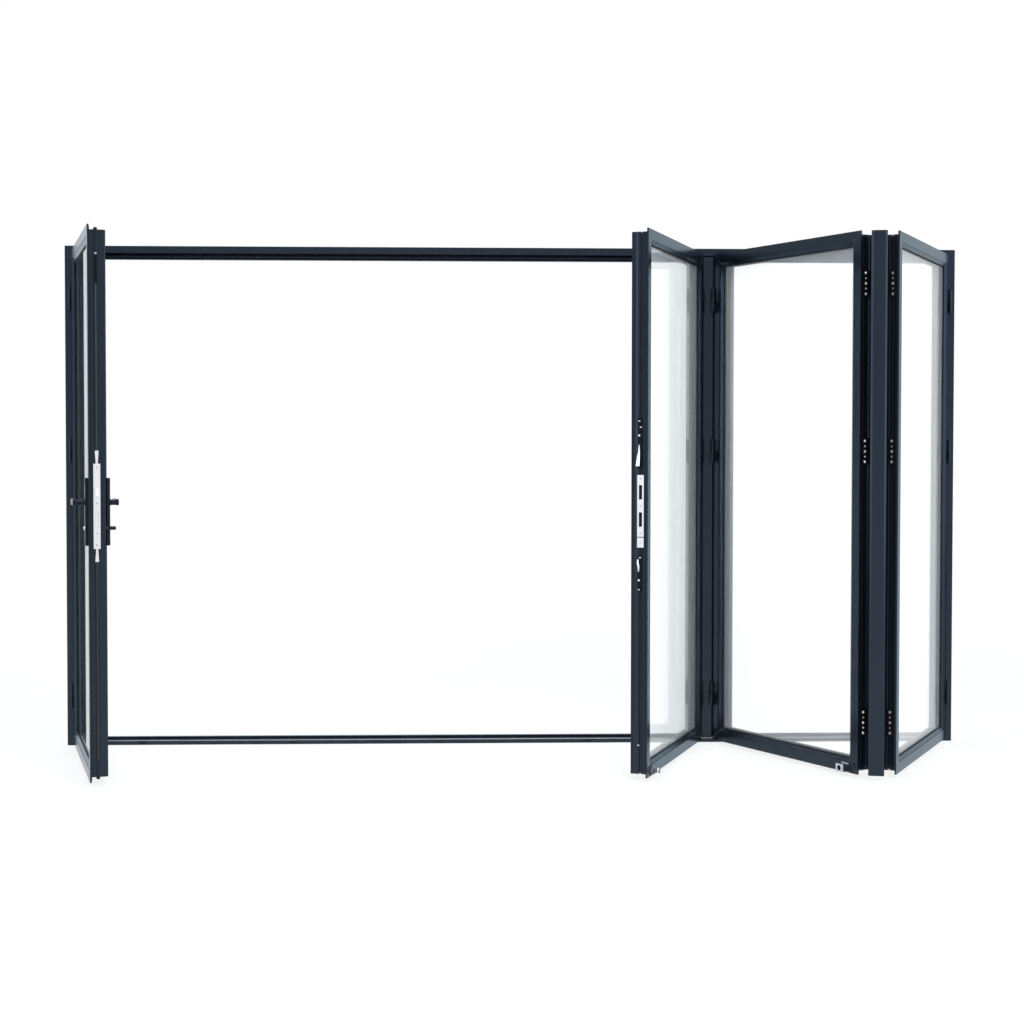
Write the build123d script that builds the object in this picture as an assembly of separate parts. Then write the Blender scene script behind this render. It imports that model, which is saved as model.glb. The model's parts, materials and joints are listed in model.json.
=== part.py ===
from build123d import *
import os
from math import asin, atan2, cos, degrees, hypot, radians, sin

# Four-leaf aluminium bifold door, shown part open: a traffic door on the left
# jamb, and three leaves that fold outwards in a zigzag towards the right jamb.
# +X runs along the frame, +Y goes indoors, +Z is up.
# The origin is the centre of the sill's underside.

os.makedirs("parts", exist_ok=True)

# Outer frame
FRAME_WIDTH = 3600.0
FRAME_HEIGHT = 2010.0
FRAME_DEPTH = 80.0
FRAME_WALL = 2.5
NIB_FACE = 28.0
NIB_DEPTH = 10.0
REBATE_FLOOR = 14.0
STOP_FACE = 48.0
SILL_NIB = 19.0
SILL_FLOOR = 8.0
SILL_BACK = 24.0
SILL_CHAMFER = 4.0

# Room left round everything that swings or folds
SWING_GAP = 5.5
MEETING_GAP = 6.0
POST_GAP = 34.0
FIT_GAP = 0.3

# Leaf extrusion
LEAF_DEPTH = 65.0
SASH_FACE = 52.0
SASH_WALL = 2.0
FLANGE_THICK = 6.0
FLANGE_LAP = 6.0
SILL_LAP = 5.5
EDGE_STEP = 17.0
TONGUE_WIDTH = 12.0
TONGUE_FROM_FACE = 24.0
HARDWARE_GROOVE = 6.0
GROOVE_DEPTH = 6.0
TONGUE_ROUND = 2.0
INDOOR_ROUND = 5.0
GLAZING_LIP = 14.0
GLAZING_REBATE = 14.0
FACE_GROOVE = 1.4
FACE_GROOVE_DEPTH = 2.0
OUTER_BEAD_BACK = 1.0
OUTER_BEAD_SLOPE = 8.0
BEAD_WALL = 1.6
BEAD_CHAMFER = 4.0

# Clip-on profile on the near edges of the folding leaves
PROFILE_BASE = 3.0
PROFILE_RIB = 2.4
PROFILE_NOSE_RADIUS = 16.0
PROFILE_NOSE_BACK = 5.0

# Sealed glass unit
PANE_THICK = 6.0
PANE_SPACE = 16.0
GLASS_EDGE_GAP = 5.0

# How far each leaf and the front post are turned, in degrees
DOOR_TURN = 73.9
LEAF2_TURN = 68.7
LEAF4_TURN = 62.2
POST_TURN = 11.3

# Hinges
HINGE_RISE = 200.0
HINGE_DROP = 211.0
HINGE_PAIR = 609.0
HINGE_TALL = 95.0
KNUCKLE_RADIUS = 5.0
PIN_RADIUS = 2.5
PIN_PLAY = 0.09
HINGE_PLATE = 3.0
HINGE_FACE_WIDTH = 18.0
PIVOT_OUT = 6.0
INNER_PIVOT_SPREAD = 10.3
EDGE_PLATE_WIDTH = 28.0

# Mullion posts
POST_STEM = 18.0
POST_WALL = 2.0
TRACK_STRIP_WIDTH = 37.0
TRACK_STRIP_THICK = 6.0
TRACK_WING_WIDTH = 57.0
TRACK_WING_THICK = 3.0
COVER_WIDTH = 57.0
COVER_THICK = 6.0
COVER_EDGE = 2.0
COVER_BEVEL = 7.0
COVER_SHORT = 5.0

# Lock, handles and catches
SPINDLE_HEIGHT = 1008.0
CYLINDER_DROP = 92.0
FACEPLATE_UP = 137.0
FACEPLATE_DOWN = 165.0
FACEPLATE_WIDTH = 24.0
FACEPLATE_THICK = 3.0
ROD_LENGTH = 46.0
ROD_NECK = 7.0
ROD_WIDTH = 13.0
BOLT_WIDTH = 12.0
BOLT_HEIGHT = 52.0
BOLT_FROM_END = 62.0
LATCH_HEIGHT = 26.0
LATCH_THROW = 9.0
LATCH_TIP = 2.0
BACKPLATE_UP = 87.0
BACKPLATE_DOWN = 154.0
BACKPLATE_WIDTH = 30.0
BACKPLATE_THICK = 11.0
BACKPLATE_ROUND = 4.0
HANDLE_CHAMFER = 1.5
OUTER_LEVER_REACH = 53.0
INNER_LEVER_REACH = 42.0
LEVER_LENGTH = 118.0
LEVER_TALL = 22.0
LEVER_THICK = 11.0
LEVER_ROUND = 5.0
LEVER_NECK_RADIUS = 10.5
SPINDLE_SQUARE = 8.0
SPINDLE_HOLE_RADIUS = 7.0
CYLINDER_RADIUS = 8.0
CYLINDER_PROUD = 3.0
TURN_LENGTH = 30.0
TURN_TALL = 13.0
TURN_REACH = 20.0
KEEP_UP = 97.0
KEEP_DOWN = 125.0
SMALL_KEEP_GAP = 3.0
SMALL_KEEP_HEIGHT = 36.0
CATCH_INSET = 62.0
CATCH_PLATE_WIDTH = 40.0
CATCH_PLATE_THICK = 4.0
CATCH_REACH = 34.0
CATCH_RADIUS = 9.0
CATCH_BOSS_RADIUS = 14.0
CATCH_BOSS_REACH = 12.0
KEEPER_TALL = 28.0

# Roller under the track post and its guide at the top
ROLLER_RADIUS = 8.0
ROLLER_WIDTH = 10.0
GUIDE_RADIUS = 5.0
GUIDE_PLATE = 4.0

# Places worked out from the sizes above
FRONT = -FRAME_DEPTH / 2
FLANGE_INSET = NIB_FACE - FLANGE_LAP
LEAF_FACE_Y = FRONT - SWING_GAP - FLANGE_THICK
LEAF_BOTTOM = SILL_NIB - SILL_LAP
LEAF_TOP = FRAME_HEIGHT - FLANGE_INSET
LEAF_HEIGHT = LEAF_TOP - LEAF_BOTTOM
LEAF_WIDTH = (FRAME_WIDTH - 2 * FLANGE_INSET - MEETING_GAP - 2 * POST_GAP) / 4
TONGUE_TIP = FLANGE_LAP + SWING_GAP
STOP_FRONT = LEAF_DEPTH - FLANGE_THICK
REBATE_LINE = SASH_FACE - GLAZING_REBATE
TONGUE_MIDDLE = TONGUE_FROM_FACE + TONGUE_WIDTH / 2
UNIT_BACK = GLAZING_LIP + 2 * PANE_THICK + PANE_SPACE
PIVOT_Y = LEAF_FACE_Y - PIVOT_OUT
JAMB_PIVOT_X = FRAME_WIDTH / 2 - FLANGE_INSET
HINGE_TOP = FRAME_HEIGHT - HINGE_DROP
HINGE_HEIGHTS = (HINGE_RISE, HINGE_TOP - HINGE_PAIR, HINGE_TOP)
POST_BOTTOM = SILL_NIB + SWING_GAP
POST_TOP = FRAME_HEIGHT - NIB_FACE - SWING_GAP


def face(*points):
    """Filled outline through the given corners."""
    return make_face(Polyline(*points, close=True))


def box_face(low, high):
    """Filled rectangle between two corners."""
    return face(low, (high[0], low[1]), high, (low[0], high[1]))


def round_face(middle, radius):
    """Filled circle about a point."""
    return Pos(middle[0], middle[1]) * Circle(radius)


def upright(outline, bottom, top):
    """Plan outline drawn up from one height to another."""
    return Pos(0, 0, bottom) * extrude(outline, top - bottom)


def mitred_bar(section, length, width, start=True, end=True):
    """Bar along +Z whose inner side is +X, with 45 degree ends where asked."""
    low = width if start else 0
    high = length - width if end else length
    side = face((0, 0), (width, low), (width, high), (0, length))
    keep = extrude(Plane.XZ * side, 2 * LEAF_DEPTH + 2 * FRAME_DEPTH, both=True)
    return extrude(section, length) & keep


def rectangle_of_bars(section, width, height, reach):
    """Left, top, right and bottom bars of a mitred rectangle, inner sides facing in."""
    upright_bar = mitred_bar(section, height, reach)
    level_bar = mitred_bar(section, width, reach)
    return (
        upright_bar,
        Pos(0, 0, height) * Rot(0, 90, 0) * level_bar,
        Pos(width, 0, height) * Rot(0, 180, 0) * upright_bar,
        Pos(width, 0, 0) * Rot(0, 270, 0) * level_bar,
    )


def write(name, place, *pieces):
    """One node: its solids, each moved to its place."""
    solids = [place * solid for piece in pieces for solid in piece.solids()]
    node = solids[0] if len(solids) == 1 else Compound(children=solids)
    export_step(node, f"parts/{name}.step")


# Outer frame: a nib in front, a rebate that the leaves close into, a stop indoors
def frame_outline():
    return face(
        (0, 0),
        (NIB_FACE, 0),
        (NIB_FACE, NIB_DEPTH),
        (REBATE_FLOOR, NIB_DEPTH),
        (REBATE_FLOOR, STOP_FRONT),
        (STOP_FACE, STOP_FRONT),
        (STOP_FACE, FRAME_DEPTH),
        (0, FRAME_DEPTH),
    )


def frame_section():
    wall = FRAME_WALL
    nib_room = box_face((wall, wall), (NIB_FACE - wall, NIB_DEPTH - wall))
    floor_room = box_face((wall, wall), (REBATE_FLOOR - wall, STOP_FRONT - wall))
    stop_room = box_face(
        (wall, STOP_FRONT + wall), (STOP_FACE - wall, FRAME_DEPTH - wall)
    )
    return frame_outline() - nib_room - floor_room - stop_room


# Jamb bars start as the left one; the right one is the same bar turned over
LEFT_JAMB = Pos(-FRAME_WIDTH / 2, FRONT, 0)
RIGHT_JAMB = Pos(FRAME_WIDTH / 2, FRONT, FRAME_HEIGHT) * Rot(0, 180, 0)
HEAD = Pos(-FRAME_WIDTH / 2, FRONT, FRAME_HEIGHT) * Rot(0, 90, 0)


def make_frame():
    left = mitred_bar(frame_section(), FRAME_HEIGHT, STOP_FACE, start=False)
    right = mitred_bar(frame_section(), FRAME_HEIGHT, STOP_FACE, end=False)
    head = mitred_bar(frame_section(), FRAME_WIDTH, STOP_FACE)
    write("left_jamb", LEFT_JAMB, left)
    write("right_jamb", RIGHT_JAMB, right)
    write("head", HEAD, head)

    sill_outline = face(
        (0, 0),
        (0, SILL_NIB - SILL_CHAMFER),
        (SILL_CHAMFER, SILL_NIB),
        (NIB_DEPTH, SILL_NIB),
        (NIB_DEPTH, SILL_FLOOR),
        (STOP_FRONT, SILL_FLOOR),
        (STOP_FRONT, SILL_BACK),
        (FRAME_DEPTH - SILL_CHAMFER, SILL_BACK),
        (FRAME_DEPTH, SILL_BACK - SILL_CHAMFER),
        (FRAME_DEPTH, 0),
    )
    back_room = box_face(
        (STOP_FRONT + FRAME_WALL, FRAME_WALL),
        (FRAME_DEPTH - SILL_CHAMFER, SILL_BACK - FRAME_WALL),
    )
    floor_room = box_face(
        (NIB_DEPTH, FRAME_WALL), (STOP_FRONT - FRAME_WALL, SILL_FLOOR - FRAME_WALL)
    )
    section = sill_outline - back_room - floor_room
    bar = Pos(-FRAME_WIDTH / 2, FRONT, 0) * extrude(Plane.YZ * section, FRAME_WIDTH)
    for jamb in (LEFT_JAMB, RIGHT_JAMB):
        bar -= jamb * extrude(frame_outline(), FRAME_HEIGHT)
    write("sill", Pos(0, 0, 0), bar)


# Leaf extrusion: x runs in from the flange's edge, y from the outer face indoors
def sash_section():
    tongue_back = TONGUE_FROM_FACE + TONGUE_WIDTH
    body = face(
        (0, 0),
        (REBATE_LINE, 0),
        (REBATE_LINE, FACE_GROOVE_DEPTH),
        (REBATE_LINE + FACE_GROOVE, FACE_GROOVE_DEPTH),
        (REBATE_LINE + FACE_GROOVE, OUTER_BEAD_BACK),
        (SASH_FACE, OUTER_BEAD_BACK + OUTER_BEAD_SLOPE),
        (SASH_FACE, GLAZING_LIP),
        (REBATE_LINE, GLAZING_LIP),
        (REBATE_LINE, LEAF_DEPTH),
        (EDGE_STEP, LEAF_DEPTH),
        (EDGE_STEP, tongue_back),
        (TONGUE_TIP, tongue_back),
        (TONGUE_TIP, TONGUE_FROM_FACE),
        (EDGE_STEP, TONGUE_FROM_FACE),
        (EDGE_STEP, FLANGE_THICK),
        (0, FLANGE_THICK),
    )
    indoor_corner = body.vertices().sort_by_distance((EDGE_STEP, LEAF_DEPTH, 0))[0]
    body = fillet(indoor_corner, INDOOR_ROUND)
    for depth in (TONGUE_FROM_FACE, tongue_back):
        tip = body.vertices().sort_by_distance((TONGUE_TIP, depth, 0))[0]
        body = fillet(tip, TONGUE_ROUND)
    wall = SASH_WALL
    outer_room = box_face(
        (EDGE_STEP + wall, 2 * wall), (REBATE_LINE - wall, TONGUE_FROM_FACE - wall)
    )
    middle_room = box_face(
        (EDGE_STEP + wall, TONGUE_FROM_FACE), (REBATE_LINE - wall, tongue_back)
    )
    inner_room = box_face(
        (EDGE_STEP + wall, tongue_back + wall),
        (REBATE_LINE - wall, LEAF_DEPTH - INDOOR_ROUND),
    )
    groove = box_face(
        (TONGUE_TIP, TONGUE_MIDDLE - HARDWARE_GROOVE / 2),
        (TONGUE_TIP + GROOVE_DEPTH, TONGUE_MIDDLE + HARDWARE_GROOVE / 2),
    )
    return body - outer_room - middle_room - inner_room - groove


# Clip-on edge profile: ribs before the tongue, a rounded nose and two lips behind it
def edge_profiles():
    top_u = TONGUE_TIP + FIT_GAP
    base_u = EDGE_STEP - PROFILE_BASE
    front_from = FLANGE_THICK + FIT_GAP
    front_to = TONGUE_FROM_FACE - FIT_GAP
    front = box_face((base_u, front_from), (EDGE_STEP, front_to))
    rib_pitch = (front_to - front_from) / 3
    for middle in (front_from + rib_pitch, front_to - rib_pitch):
        front += box_face(
            (top_u, middle - PROFILE_RIB / 2), (EDGE_STEP, middle + PROFILE_RIB / 2)
        )

    back_from = TONGUE_FROM_FACE + TONGUE_WIDTH + FIT_GAP
    back = box_face((base_u, back_from), (EDGE_STEP, LEAF_DEPTH))
    nose_middle = (top_u + PROFILE_NOSE_RADIUS, back_from + PROFILE_NOSE_BACK)
    back += round_face(nose_middle, PROFILE_NOSE_RADIUS) & box_face(
        (top_u, back_from), (EDGE_STEP, LEAF_DEPTH)
    )
    for lip_back in (LEAF_DEPTH, LEAF_DEPTH - 2 * PROFILE_RIB):
        back += box_face((top_u, lip_back - PROFILE_RIB), (EDGE_STEP, lip_back))
    low, high = TONGUE_TIP, LEAF_HEIGHT - TONGUE_TIP
    return [upright(front, low, high), upright(back, low, high)]


def bead_section():
    outline = face(
        (REBATE_LINE, UNIT_BACK),
        (SASH_FACE, UNIT_BACK),
        (SASH_FACE, LEAF_DEPTH - BEAD_CHAMFER),
        (SASH_FACE - BEAD_CHAMFER, LEAF_DEPTH),
        (REBATE_LINE, LEAF_DEPTH),
    )
    room = box_face(
        (REBATE_LINE + BEAD_WALL, UNIT_BACK + BEAD_WALL),
        (SASH_FACE - BEAD_CHAMFER, LEAF_DEPTH - BEAD_CHAMFER),
    )
    return outline - room


def make_panes():
    inset = REBATE_LINE + GLASS_EDGE_GAP
    plan = box_face((inset, 0), (LEAF_WIDTH - inset, PANE_THICK))
    pane = upright(plan, inset, LEAF_HEIGHT - inset)
    return (
        Pos(0, GLAZING_LIP, 0) * pane,
        Pos(0, UNIT_BACK - PANE_THICK, 0) * pane,
    )


def handle_bore(radius, height, edge_x):
    """Round cut right through a leaf, level with a height above the sill."""
    middle = Pos(edge_x, 0, height - LEAF_BOTTOM)
    return middle * extrude(Plane.XZ * Circle(radius), 2 * LEAF_DEPTH, both=True)


def hinge_pockets():
    """Shallow cuts in a leaf's outer face that the hinge plates lie in, at x = 0."""
    plan = box_face((0, 0), (HINGE_FACE_WIDTH + FIT_GAP, HINGE_PLATE))
    reach = HINGE_TALL / 2 + FIT_GAP
    return [
        upright(plan, height - LEAF_BOTTOM - reach, height - LEAF_BOTTOM + reach)
        for height in HINGE_HEIGHTS
    ]


def make_leaf(prefix, place, names, hinge_bar, lock_bar=None):
    bars = rectangle_of_bars(sash_section(), LEAF_WIDTH, LEAF_HEIGHT, SASH_FACE)
    beads = rectangle_of_bars(bead_section(), LEAF_WIDTH, LEAF_HEIGHT, SASH_FACE)
    pockets = hinge_pockets()
    if hinge_bar == names[2]:
        pockets = [Pos(LEAF_WIDTH, 0, 0) * pocket for pocket in flipped(pockets)]
    for name, bar in zip(names, bars):
        if name == hinge_bar:
            for pocket in pockets:
                bar -= pocket
        if name == lock_bar:
            bar -= handle_bore(SPINDLE_HOLE_RADIUS, SPINDLE_HEIGHT, HANDLE_X)
            bar -= handle_bore(
                CYLINDER_RADIUS + FIT_GAP, SPINDLE_HEIGHT - CYLINDER_DROP, HANDLE_X
            )
        write(f"{prefix}_{name}", place, bar)
    write(f"{prefix}_beads", place, *beads)
    write(f"{prefix}_glass", place, *make_panes())


# Handle and cylinder stand over the middle of the stile's hollow body
HANDLE_X = LEAF_WIDTH - (EDGE_STEP + REBATE_LINE) / 2


# Leaf places: each leaf is turned about the hinge that holds it
def turned(pivot, angle, leaf_pivot_x):
    back = Pos(-leaf_pivot_x, PIVOT_OUT, LEAF_BOTTOM)
    return Pos(pivot[0], pivot[1], 0) * Rot(0, 0, angle) * back


def turn_about_z(vector, angle):
    c, s = cos(radians(angle)), sin(radians(angle))
    return (vector[0] * c - vector[1] * s, vector[0] * s + vector[1] * c)


# From a leaf's outer hinge to its inner hinge on the front post
HINGE_SPAN_X = LEAF_WIDTH + POST_GAP / 2 - INNER_PIVOT_SPREAD
HINGE_SPAN_Y = LEAF_DEPTH + PIVOT_OUT

right_pivot = (JAMB_PIVOT_X, PIVOT_Y)
left_pivot = (-JAMB_PIVOT_X, PIVOT_Y)
reach4 = turn_about_z((-HINGE_SPAN_X, HINGE_SPAN_Y), LEAF4_TURN)
post_right = (right_pivot[0] + reach4[0], right_pivot[1] + reach4[1])
post_step = turn_about_z((-2 * INNER_PIVOT_SPREAD, 0), -POST_TURN)
post_left = (post_right[0] + post_step[0], post_right[1] + post_step[1])
post_middle = (
    (post_left[0] + post_right[0]) / 2,
    (post_left[1] + post_right[1]) / 2,
)
# The third leaf's angle brings its other hinge back to the track
LEAF3_TURN = degrees(
    asin((PIVOT_Y - post_left[1]) / hypot(HINGE_SPAN_X, HINGE_SPAN_Y))
    + atan2(HINGE_SPAN_Y, HINGE_SPAN_X)
)
reach3 = turn_about_z((-HINGE_SPAN_X, -HINGE_SPAN_Y), -LEAF3_TURN)
track_right = (post_left[0] + reach3[0], post_left[1] + reach3[1])
track_left = (track_right[0] - POST_GAP, track_right[1])
track_middle_x = track_right[0] - POST_GAP / 2

DOOR = turned(left_pivot, -DOOR_TURN, 0)
LEAF2 = turned(track_left, LEAF2_TURN, LEAF_WIDTH)
LEAF3 = turned(track_right, -LEAF3_TURN, 0)
LEAF4 = turned(right_pivot, LEAF4_TURN, LEAF_WIDTH)
# Posts keep the leaves' closed depths: y = 0 is the leaves' outer face
TRACK_POST = Pos(track_middle_x, LEAF_FACE_Y, 0)
FRONT_POST = (
    Pos(post_middle[0], post_middle[1], 0)
    * Rot(0, 0, -POST_TURN)
    * Pos(0, -LEAF_DEPTH, 0)
)


# Posts between the leaves
def make_posts():
    half = POST_STEM / 2
    strip_half = TRACK_STRIP_WIDTH / 2
    wing_half = TRACK_WING_WIDTH / 2
    nib_y = FLANGE_THICK + SWING_GAP
    wing_y = nib_y + TRACK_STRIP_THICK

    track = box_face((-strip_half, nib_y), (strip_half, wing_y))
    track += box_face((-wing_half, wing_y), (wing_half, wing_y + TRACK_WING_THICK))
    track += box_face((-half, nib_y), (half, LEAF_DEPTH))
    track -= box_face(
        (-half + POST_WALL, wing_y), (half - POST_WALL, LEAF_DEPTH - POST_WALL)
    )
    post = upright(track, POST_BOTTOM, POST_TOP)
    pocket_half = POST_GAP / 2 - SWING_GAP + FIT_GAP
    pocket = box_face((-pocket_half, nib_y), (pocket_half, nib_y + HINGE_PLATE))
    reach = HINGE_TALL / 2 + FIT_GAP
    for height in HINGE_HEIGHTS:
        post -= upright(pocket, height - reach, height + reach)
    write("track_post", TRACK_POST, post)

    cover_half = COVER_WIDTH / 2
    cover_back = -SWING_GAP
    cover_front = cover_back - COVER_THICK
    stem_end = LEAF_DEPTH - KNUCKLE_RADIUS - FIT_GAP
    cover = face(
        (-cover_half, cover_back),
        (-cover_half, cover_back - COVER_EDGE),
        (-cover_half + COVER_BEVEL, cover_front),
        (cover_half - COVER_BEVEL, cover_front),
        (cover_half, cover_back - COVER_EDGE),
        (cover_half, cover_back),
    )
    stem = box_face((-half, cover_back), (half, stem_end))
    stem -= box_face(
        (-half + POST_WALL, cover_back), (half - POST_WALL, stem_end - POST_WALL)
    )
    cover_bar = upright(cover, LEAF_BOTTOM + COVER_SHORT, LEAF_TOP - COVER_SHORT)
    write("front_post", FRONT_POST, cover_bar + upright(stem, POST_BOTTOM, POST_TOP))


# Hinges: a lower knuckle with its pin, and an upper knuckle that sits on it
def hinge_set(plate, arm, pivot, lower):
    """One hinge half at every height; plate and arm are plan outlines."""
    solids = []
    for height in HINGE_HEIGHTS:
        bottom, top = height - HINGE_TALL / 2, height + HINGE_TALL / 2
        if lower:
            knuckle = round_face(pivot, KNUCKLE_RADIUS)
            half = upright(arm + knuckle, bottom, height - FIT_GAP)
            pin = upright(round_face(pivot, PIN_RADIUS), bottom, top - HINGE_PLATE)
            solids.append(half + upright(plate, bottom, top) + pin)
        else:
            knuckle = round_face(pivot, KNUCKLE_RADIUS - FIT_GAP)
            bore = round_face(pivot, PIN_RADIUS + PIN_PLAY)
            half = upright(arm + knuckle - bore, height, top)
            solids.append(half + upright(plate, bottom, top))
    return solids


def leaf_face_hinges():
    """Hinge halves let into a leaf's outer face, for the edge at x = 0."""
    plate = box_face((0, 0), (HINGE_FACE_WIDTH, HINGE_PLATE))
    arm = box_face((0, -PIVOT_OUT), (HINGE_PLATE, HINGE_PLATE))
    return hinge_set(plate, arm, (0, -PIVOT_OUT), lower=False)


def jamb_hinges():
    """Hinge halves on the jamb's nib, about the leaf edge at x = 0."""
    nib_y = FLANGE_THICK + SWING_GAP
    outer = -FLANGE_INSET + HINGE_PLATE / 2
    inner = -SWING_GAP
    plate = box_face((outer, nib_y - HINGE_PLATE), (inner, nib_y))
    arm = box_face((inner - HINGE_PLATE, -PIVOT_OUT), (inner, nib_y))
    arm += box_face(
        (inner - HINGE_PLATE, -PIVOT_OUT - HINGE_PLATE / 2),
        (0, -PIVOT_OUT + HINGE_PLATE / 2),
    )
    return hinge_set(plate, arm, (0, -PIVOT_OUT), lower=True)


def flipped(pieces):
    """The same pieces for a leaf edge that faces the other way."""
    return [mirror(piece, Plane.YZ) for piece in pieces]


def make_jamb_hinges():
    leaf_half = leaf_face_hinges()
    frame_half = jamb_hinges()
    at_left = Pos(-JAMB_PIVOT_X, LEAF_FACE_Y, 0)
    at_right = Pos(JAMB_PIVOT_X, LEAF_FACE_Y, 0)
    near_edge = Pos(0, 0, -LEAF_BOTTOM)
    far_edge = Pos(LEAF_WIDTH, 0, -LEAF_BOTTOM)
    write("left_jamb_hinges", at_left, *frame_half)
    write("right_jamb_hinges", at_right, *flipped(frame_half))
    write("door_hinges", DOOR * near_edge, *leaf_half)
    write("leaf4_jamb_hinges", LEAF4 * far_edge, *flipped(leaf_half))
    write("leaf2_track_hinges", LEAF2 * far_edge, *flipped(leaf_half))
    write("leaf3_track_hinges", LEAF3 * near_edge, *leaf_half)


def make_track_post_hinges():
    nib_y = FLANGE_THICK + SWING_GAP
    reach = POST_GAP / 2
    plate_half = reach - SWING_GAP
    fin_inner = plate_half - HINGE_PLATE
    plate = box_face((-plate_half, nib_y), (plate_half, nib_y + HINGE_PLATE))
    arms = Sketch()
    pins = Sketch()
    for side in (-1, 1):
        pivot = (side * reach, -PIVOT_OUT)
        arms += box_face(
            (side * fin_inner, -PIVOT_OUT), (side * plate_half, nib_y + HINGE_PLATE)
        )
        arms += box_face(
            (side * fin_inner, -PIVOT_OUT - HINGE_PLATE / 2),
            (side * reach, -PIVOT_OUT + HINGE_PLATE / 2),
        )
        arms += round_face(pivot, KNUCKLE_RADIUS)
        pins += round_face(pivot, PIN_RADIUS)
    solids = []
    for height in HINGE_HEIGHTS:
        bottom, top = height - HINGE_TALL / 2, height + HINGE_TALL / 2
        solids.append(
            upright(plate, bottom, top)
            + upright(arms, bottom, height - FIT_GAP)
            + upright(pins, bottom, top - HINGE_PLATE)
        )
    write("track_post_hinges", TRACK_POST, *solids)


def make_front_post_hinges():
    spread = INNER_PIVOT_SPREAD
    stem_end = LEAF_DEPTH - KNUCKLE_RADIUS - FIT_GAP
    solids = []
    for height in HINGE_HEIGHTS:
        bottom, top = height - HINGE_TALL / 2, height + HINGE_TALL / 2
        block = box_face((-spread, stem_end), (spread, LEAF_DEPTH))
        pins = Sketch()
        for side in (-1, 1):
            block += round_face((side * spread, LEAF_DEPTH), KNUCKLE_RADIUS)
            pins += round_face((side * spread, LEAF_DEPTH), PIN_RADIUS)
        solids.append(
            upright(block, bottom, height - FIT_GAP)
            + upright(pins, bottom, top - HINGE_PLATE)
        )
    write("front_post_hinges", FRONT_POST, *solids)

    # Leaf halves lie on the tongue and reach back to the inner pivot
    pivot_x = -(POST_GAP / 2 - spread)
    tongue_mid = TONGUE_MIDDLE
    plate_low = tongue_mid - EDGE_PLATE_WIDTH / 2
    plate = box_face(
        (TONGUE_TIP - HINGE_PLATE, plate_low),
        (TONGUE_TIP, tongue_mid + EDGE_PLATE_WIDTH / 2),
    )
    arm_low = LEAF_DEPTH - KNUCKLE_RADIUS / 2
    arm_high = LEAF_DEPTH + KNUCKLE_RADIUS / 2
    arm = box_face((TONGUE_TIP - HINGE_PLATE, plate_low), (TONGUE_TIP, arm_high))
    arm += box_face((pivot_x, arm_low), (TONGUE_TIP, arm_high))
    half = hinge_set(plate, arm, (pivot_x, LEAF_DEPTH), lower=False)
    far_edge = Pos(LEAF_WIDTH, 0, -LEAF_BOTTOM)
    write("leaf4_post_hinges", LEAF4 * Pos(0, 0, -LEAF_BOTTOM), *half)
    write("leaf3_post_hinges", LEAF3 * far_edge, *flipped(half))


# Lock furniture on the traffic door's edge and on the edge that it meets
def edge_shape(outline, thick):
    """Outline in depth and height above the sill, standing out from the tongue."""
    return Pos(TONGUE_TIP, 0, -LEAF_BOTTOM) * extrude(Plane.YZ * outline, -thick)


def edge_rectangle(low, high, width):
    return box_face(
        (TONGUE_MIDDLE - width / 2, low), (TONGUE_MIDDLE + width / 2, high)
    )


def make_lock():
    bolt_middle = SPINDLE_HEIGHT - KEEP_DOWN + BOLT_FROM_END
    latch_middle = SPINDLE_HEIGHT + KEEP_UP - BOLT_FROM_END
    bolt_slots = [
        edge_rectangle(middle - BOLT_HEIGHT / 2, middle + BOLT_HEIGHT / 2, BOLT_WIDTH)
        for middle in (bolt_middle, latch_middle)
    ]

    low = SPINDLE_HEIGHT - FACEPLATE_DOWN
    high = SPINDLE_HEIGHT + FACEPLATE_UP
    plate = edge_rectangle(low, high, FACEPLATE_WIDTH) - bolt_slots[0]
    for start, end in ((low, low - ROD_LENGTH), (high, high + ROD_LENGTH)):
        plate += face(
            (TONGUE_MIDDLE - ROD_NECK / 2, start),
            (TONGUE_MIDDLE + ROD_NECK / 2, start),
            (TONGUE_MIDDLE + ROD_WIDTH / 2, end),
            (TONGUE_MIDDLE - ROD_WIDTH / 2, end),
        )
    bolt = edge_rectangle(
        bolt_middle - BOLT_HEIGHT / 2 + FIT_GAP,
        bolt_middle + BOLT_HEIGHT / 2 - FIT_GAP,
        BOLT_WIDTH - 2 * FIT_GAP,
    )
    plate_front = TONGUE_TIP - FACEPLATE_THICK
    latch = face(
        (plate_front, TONGUE_MIDDLE - BOLT_WIDTH / 2),
        (plate_front, TONGUE_MIDDLE + BOLT_WIDTH / 2),
        (plate_front - LATCH_TIP, TONGUE_MIDDLE + BOLT_WIDTH / 2),
        (plate_front - LATCH_THROW, TONGUE_MIDDLE - BOLT_WIDTH / 2),
    )
    latch_low = latch_middle - LATCH_HEIGHT / 2 - LEAF_BOTTOM
    lock = edge_shape(plate, FACEPLATE_THICK)
    lock += upright(latch, latch_low, latch_low + LATCH_HEIGHT)
    bolt_block = edge_shape(bolt, FACEPLATE_THICK / 2)
    far_edge = Pos(LEAF_WIDTH, 0, 0)
    write("lock_faceplate", DOOR * far_edge, *flipped([lock, bolt_block]))

    keep_low = SPINDLE_HEIGHT - KEEP_DOWN
    keep = edge_rectangle(keep_low, SPINDLE_HEIGHT + KEEP_UP, FACEPLATE_WIDTH)
    for slot in bolt_slots:
        keep -= slot
    small_high = keep_low - SMALL_KEEP_GAP
    small = edge_rectangle(small_high - SMALL_KEEP_HEIGHT, small_high, FACEPLATE_WIDTH)
    plates = [edge_shape(outline, FACEPLATE_THICK) for outline in (keep, small)]
    write("keep_plates", LEAF2, *plates)


def softened(piece):
    """The piece with its front edges, towards -Y, chamfered."""
    return chamfer(piece.edges().group_by(Axis.Y)[0], HANDLE_CHAMFER)


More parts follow.
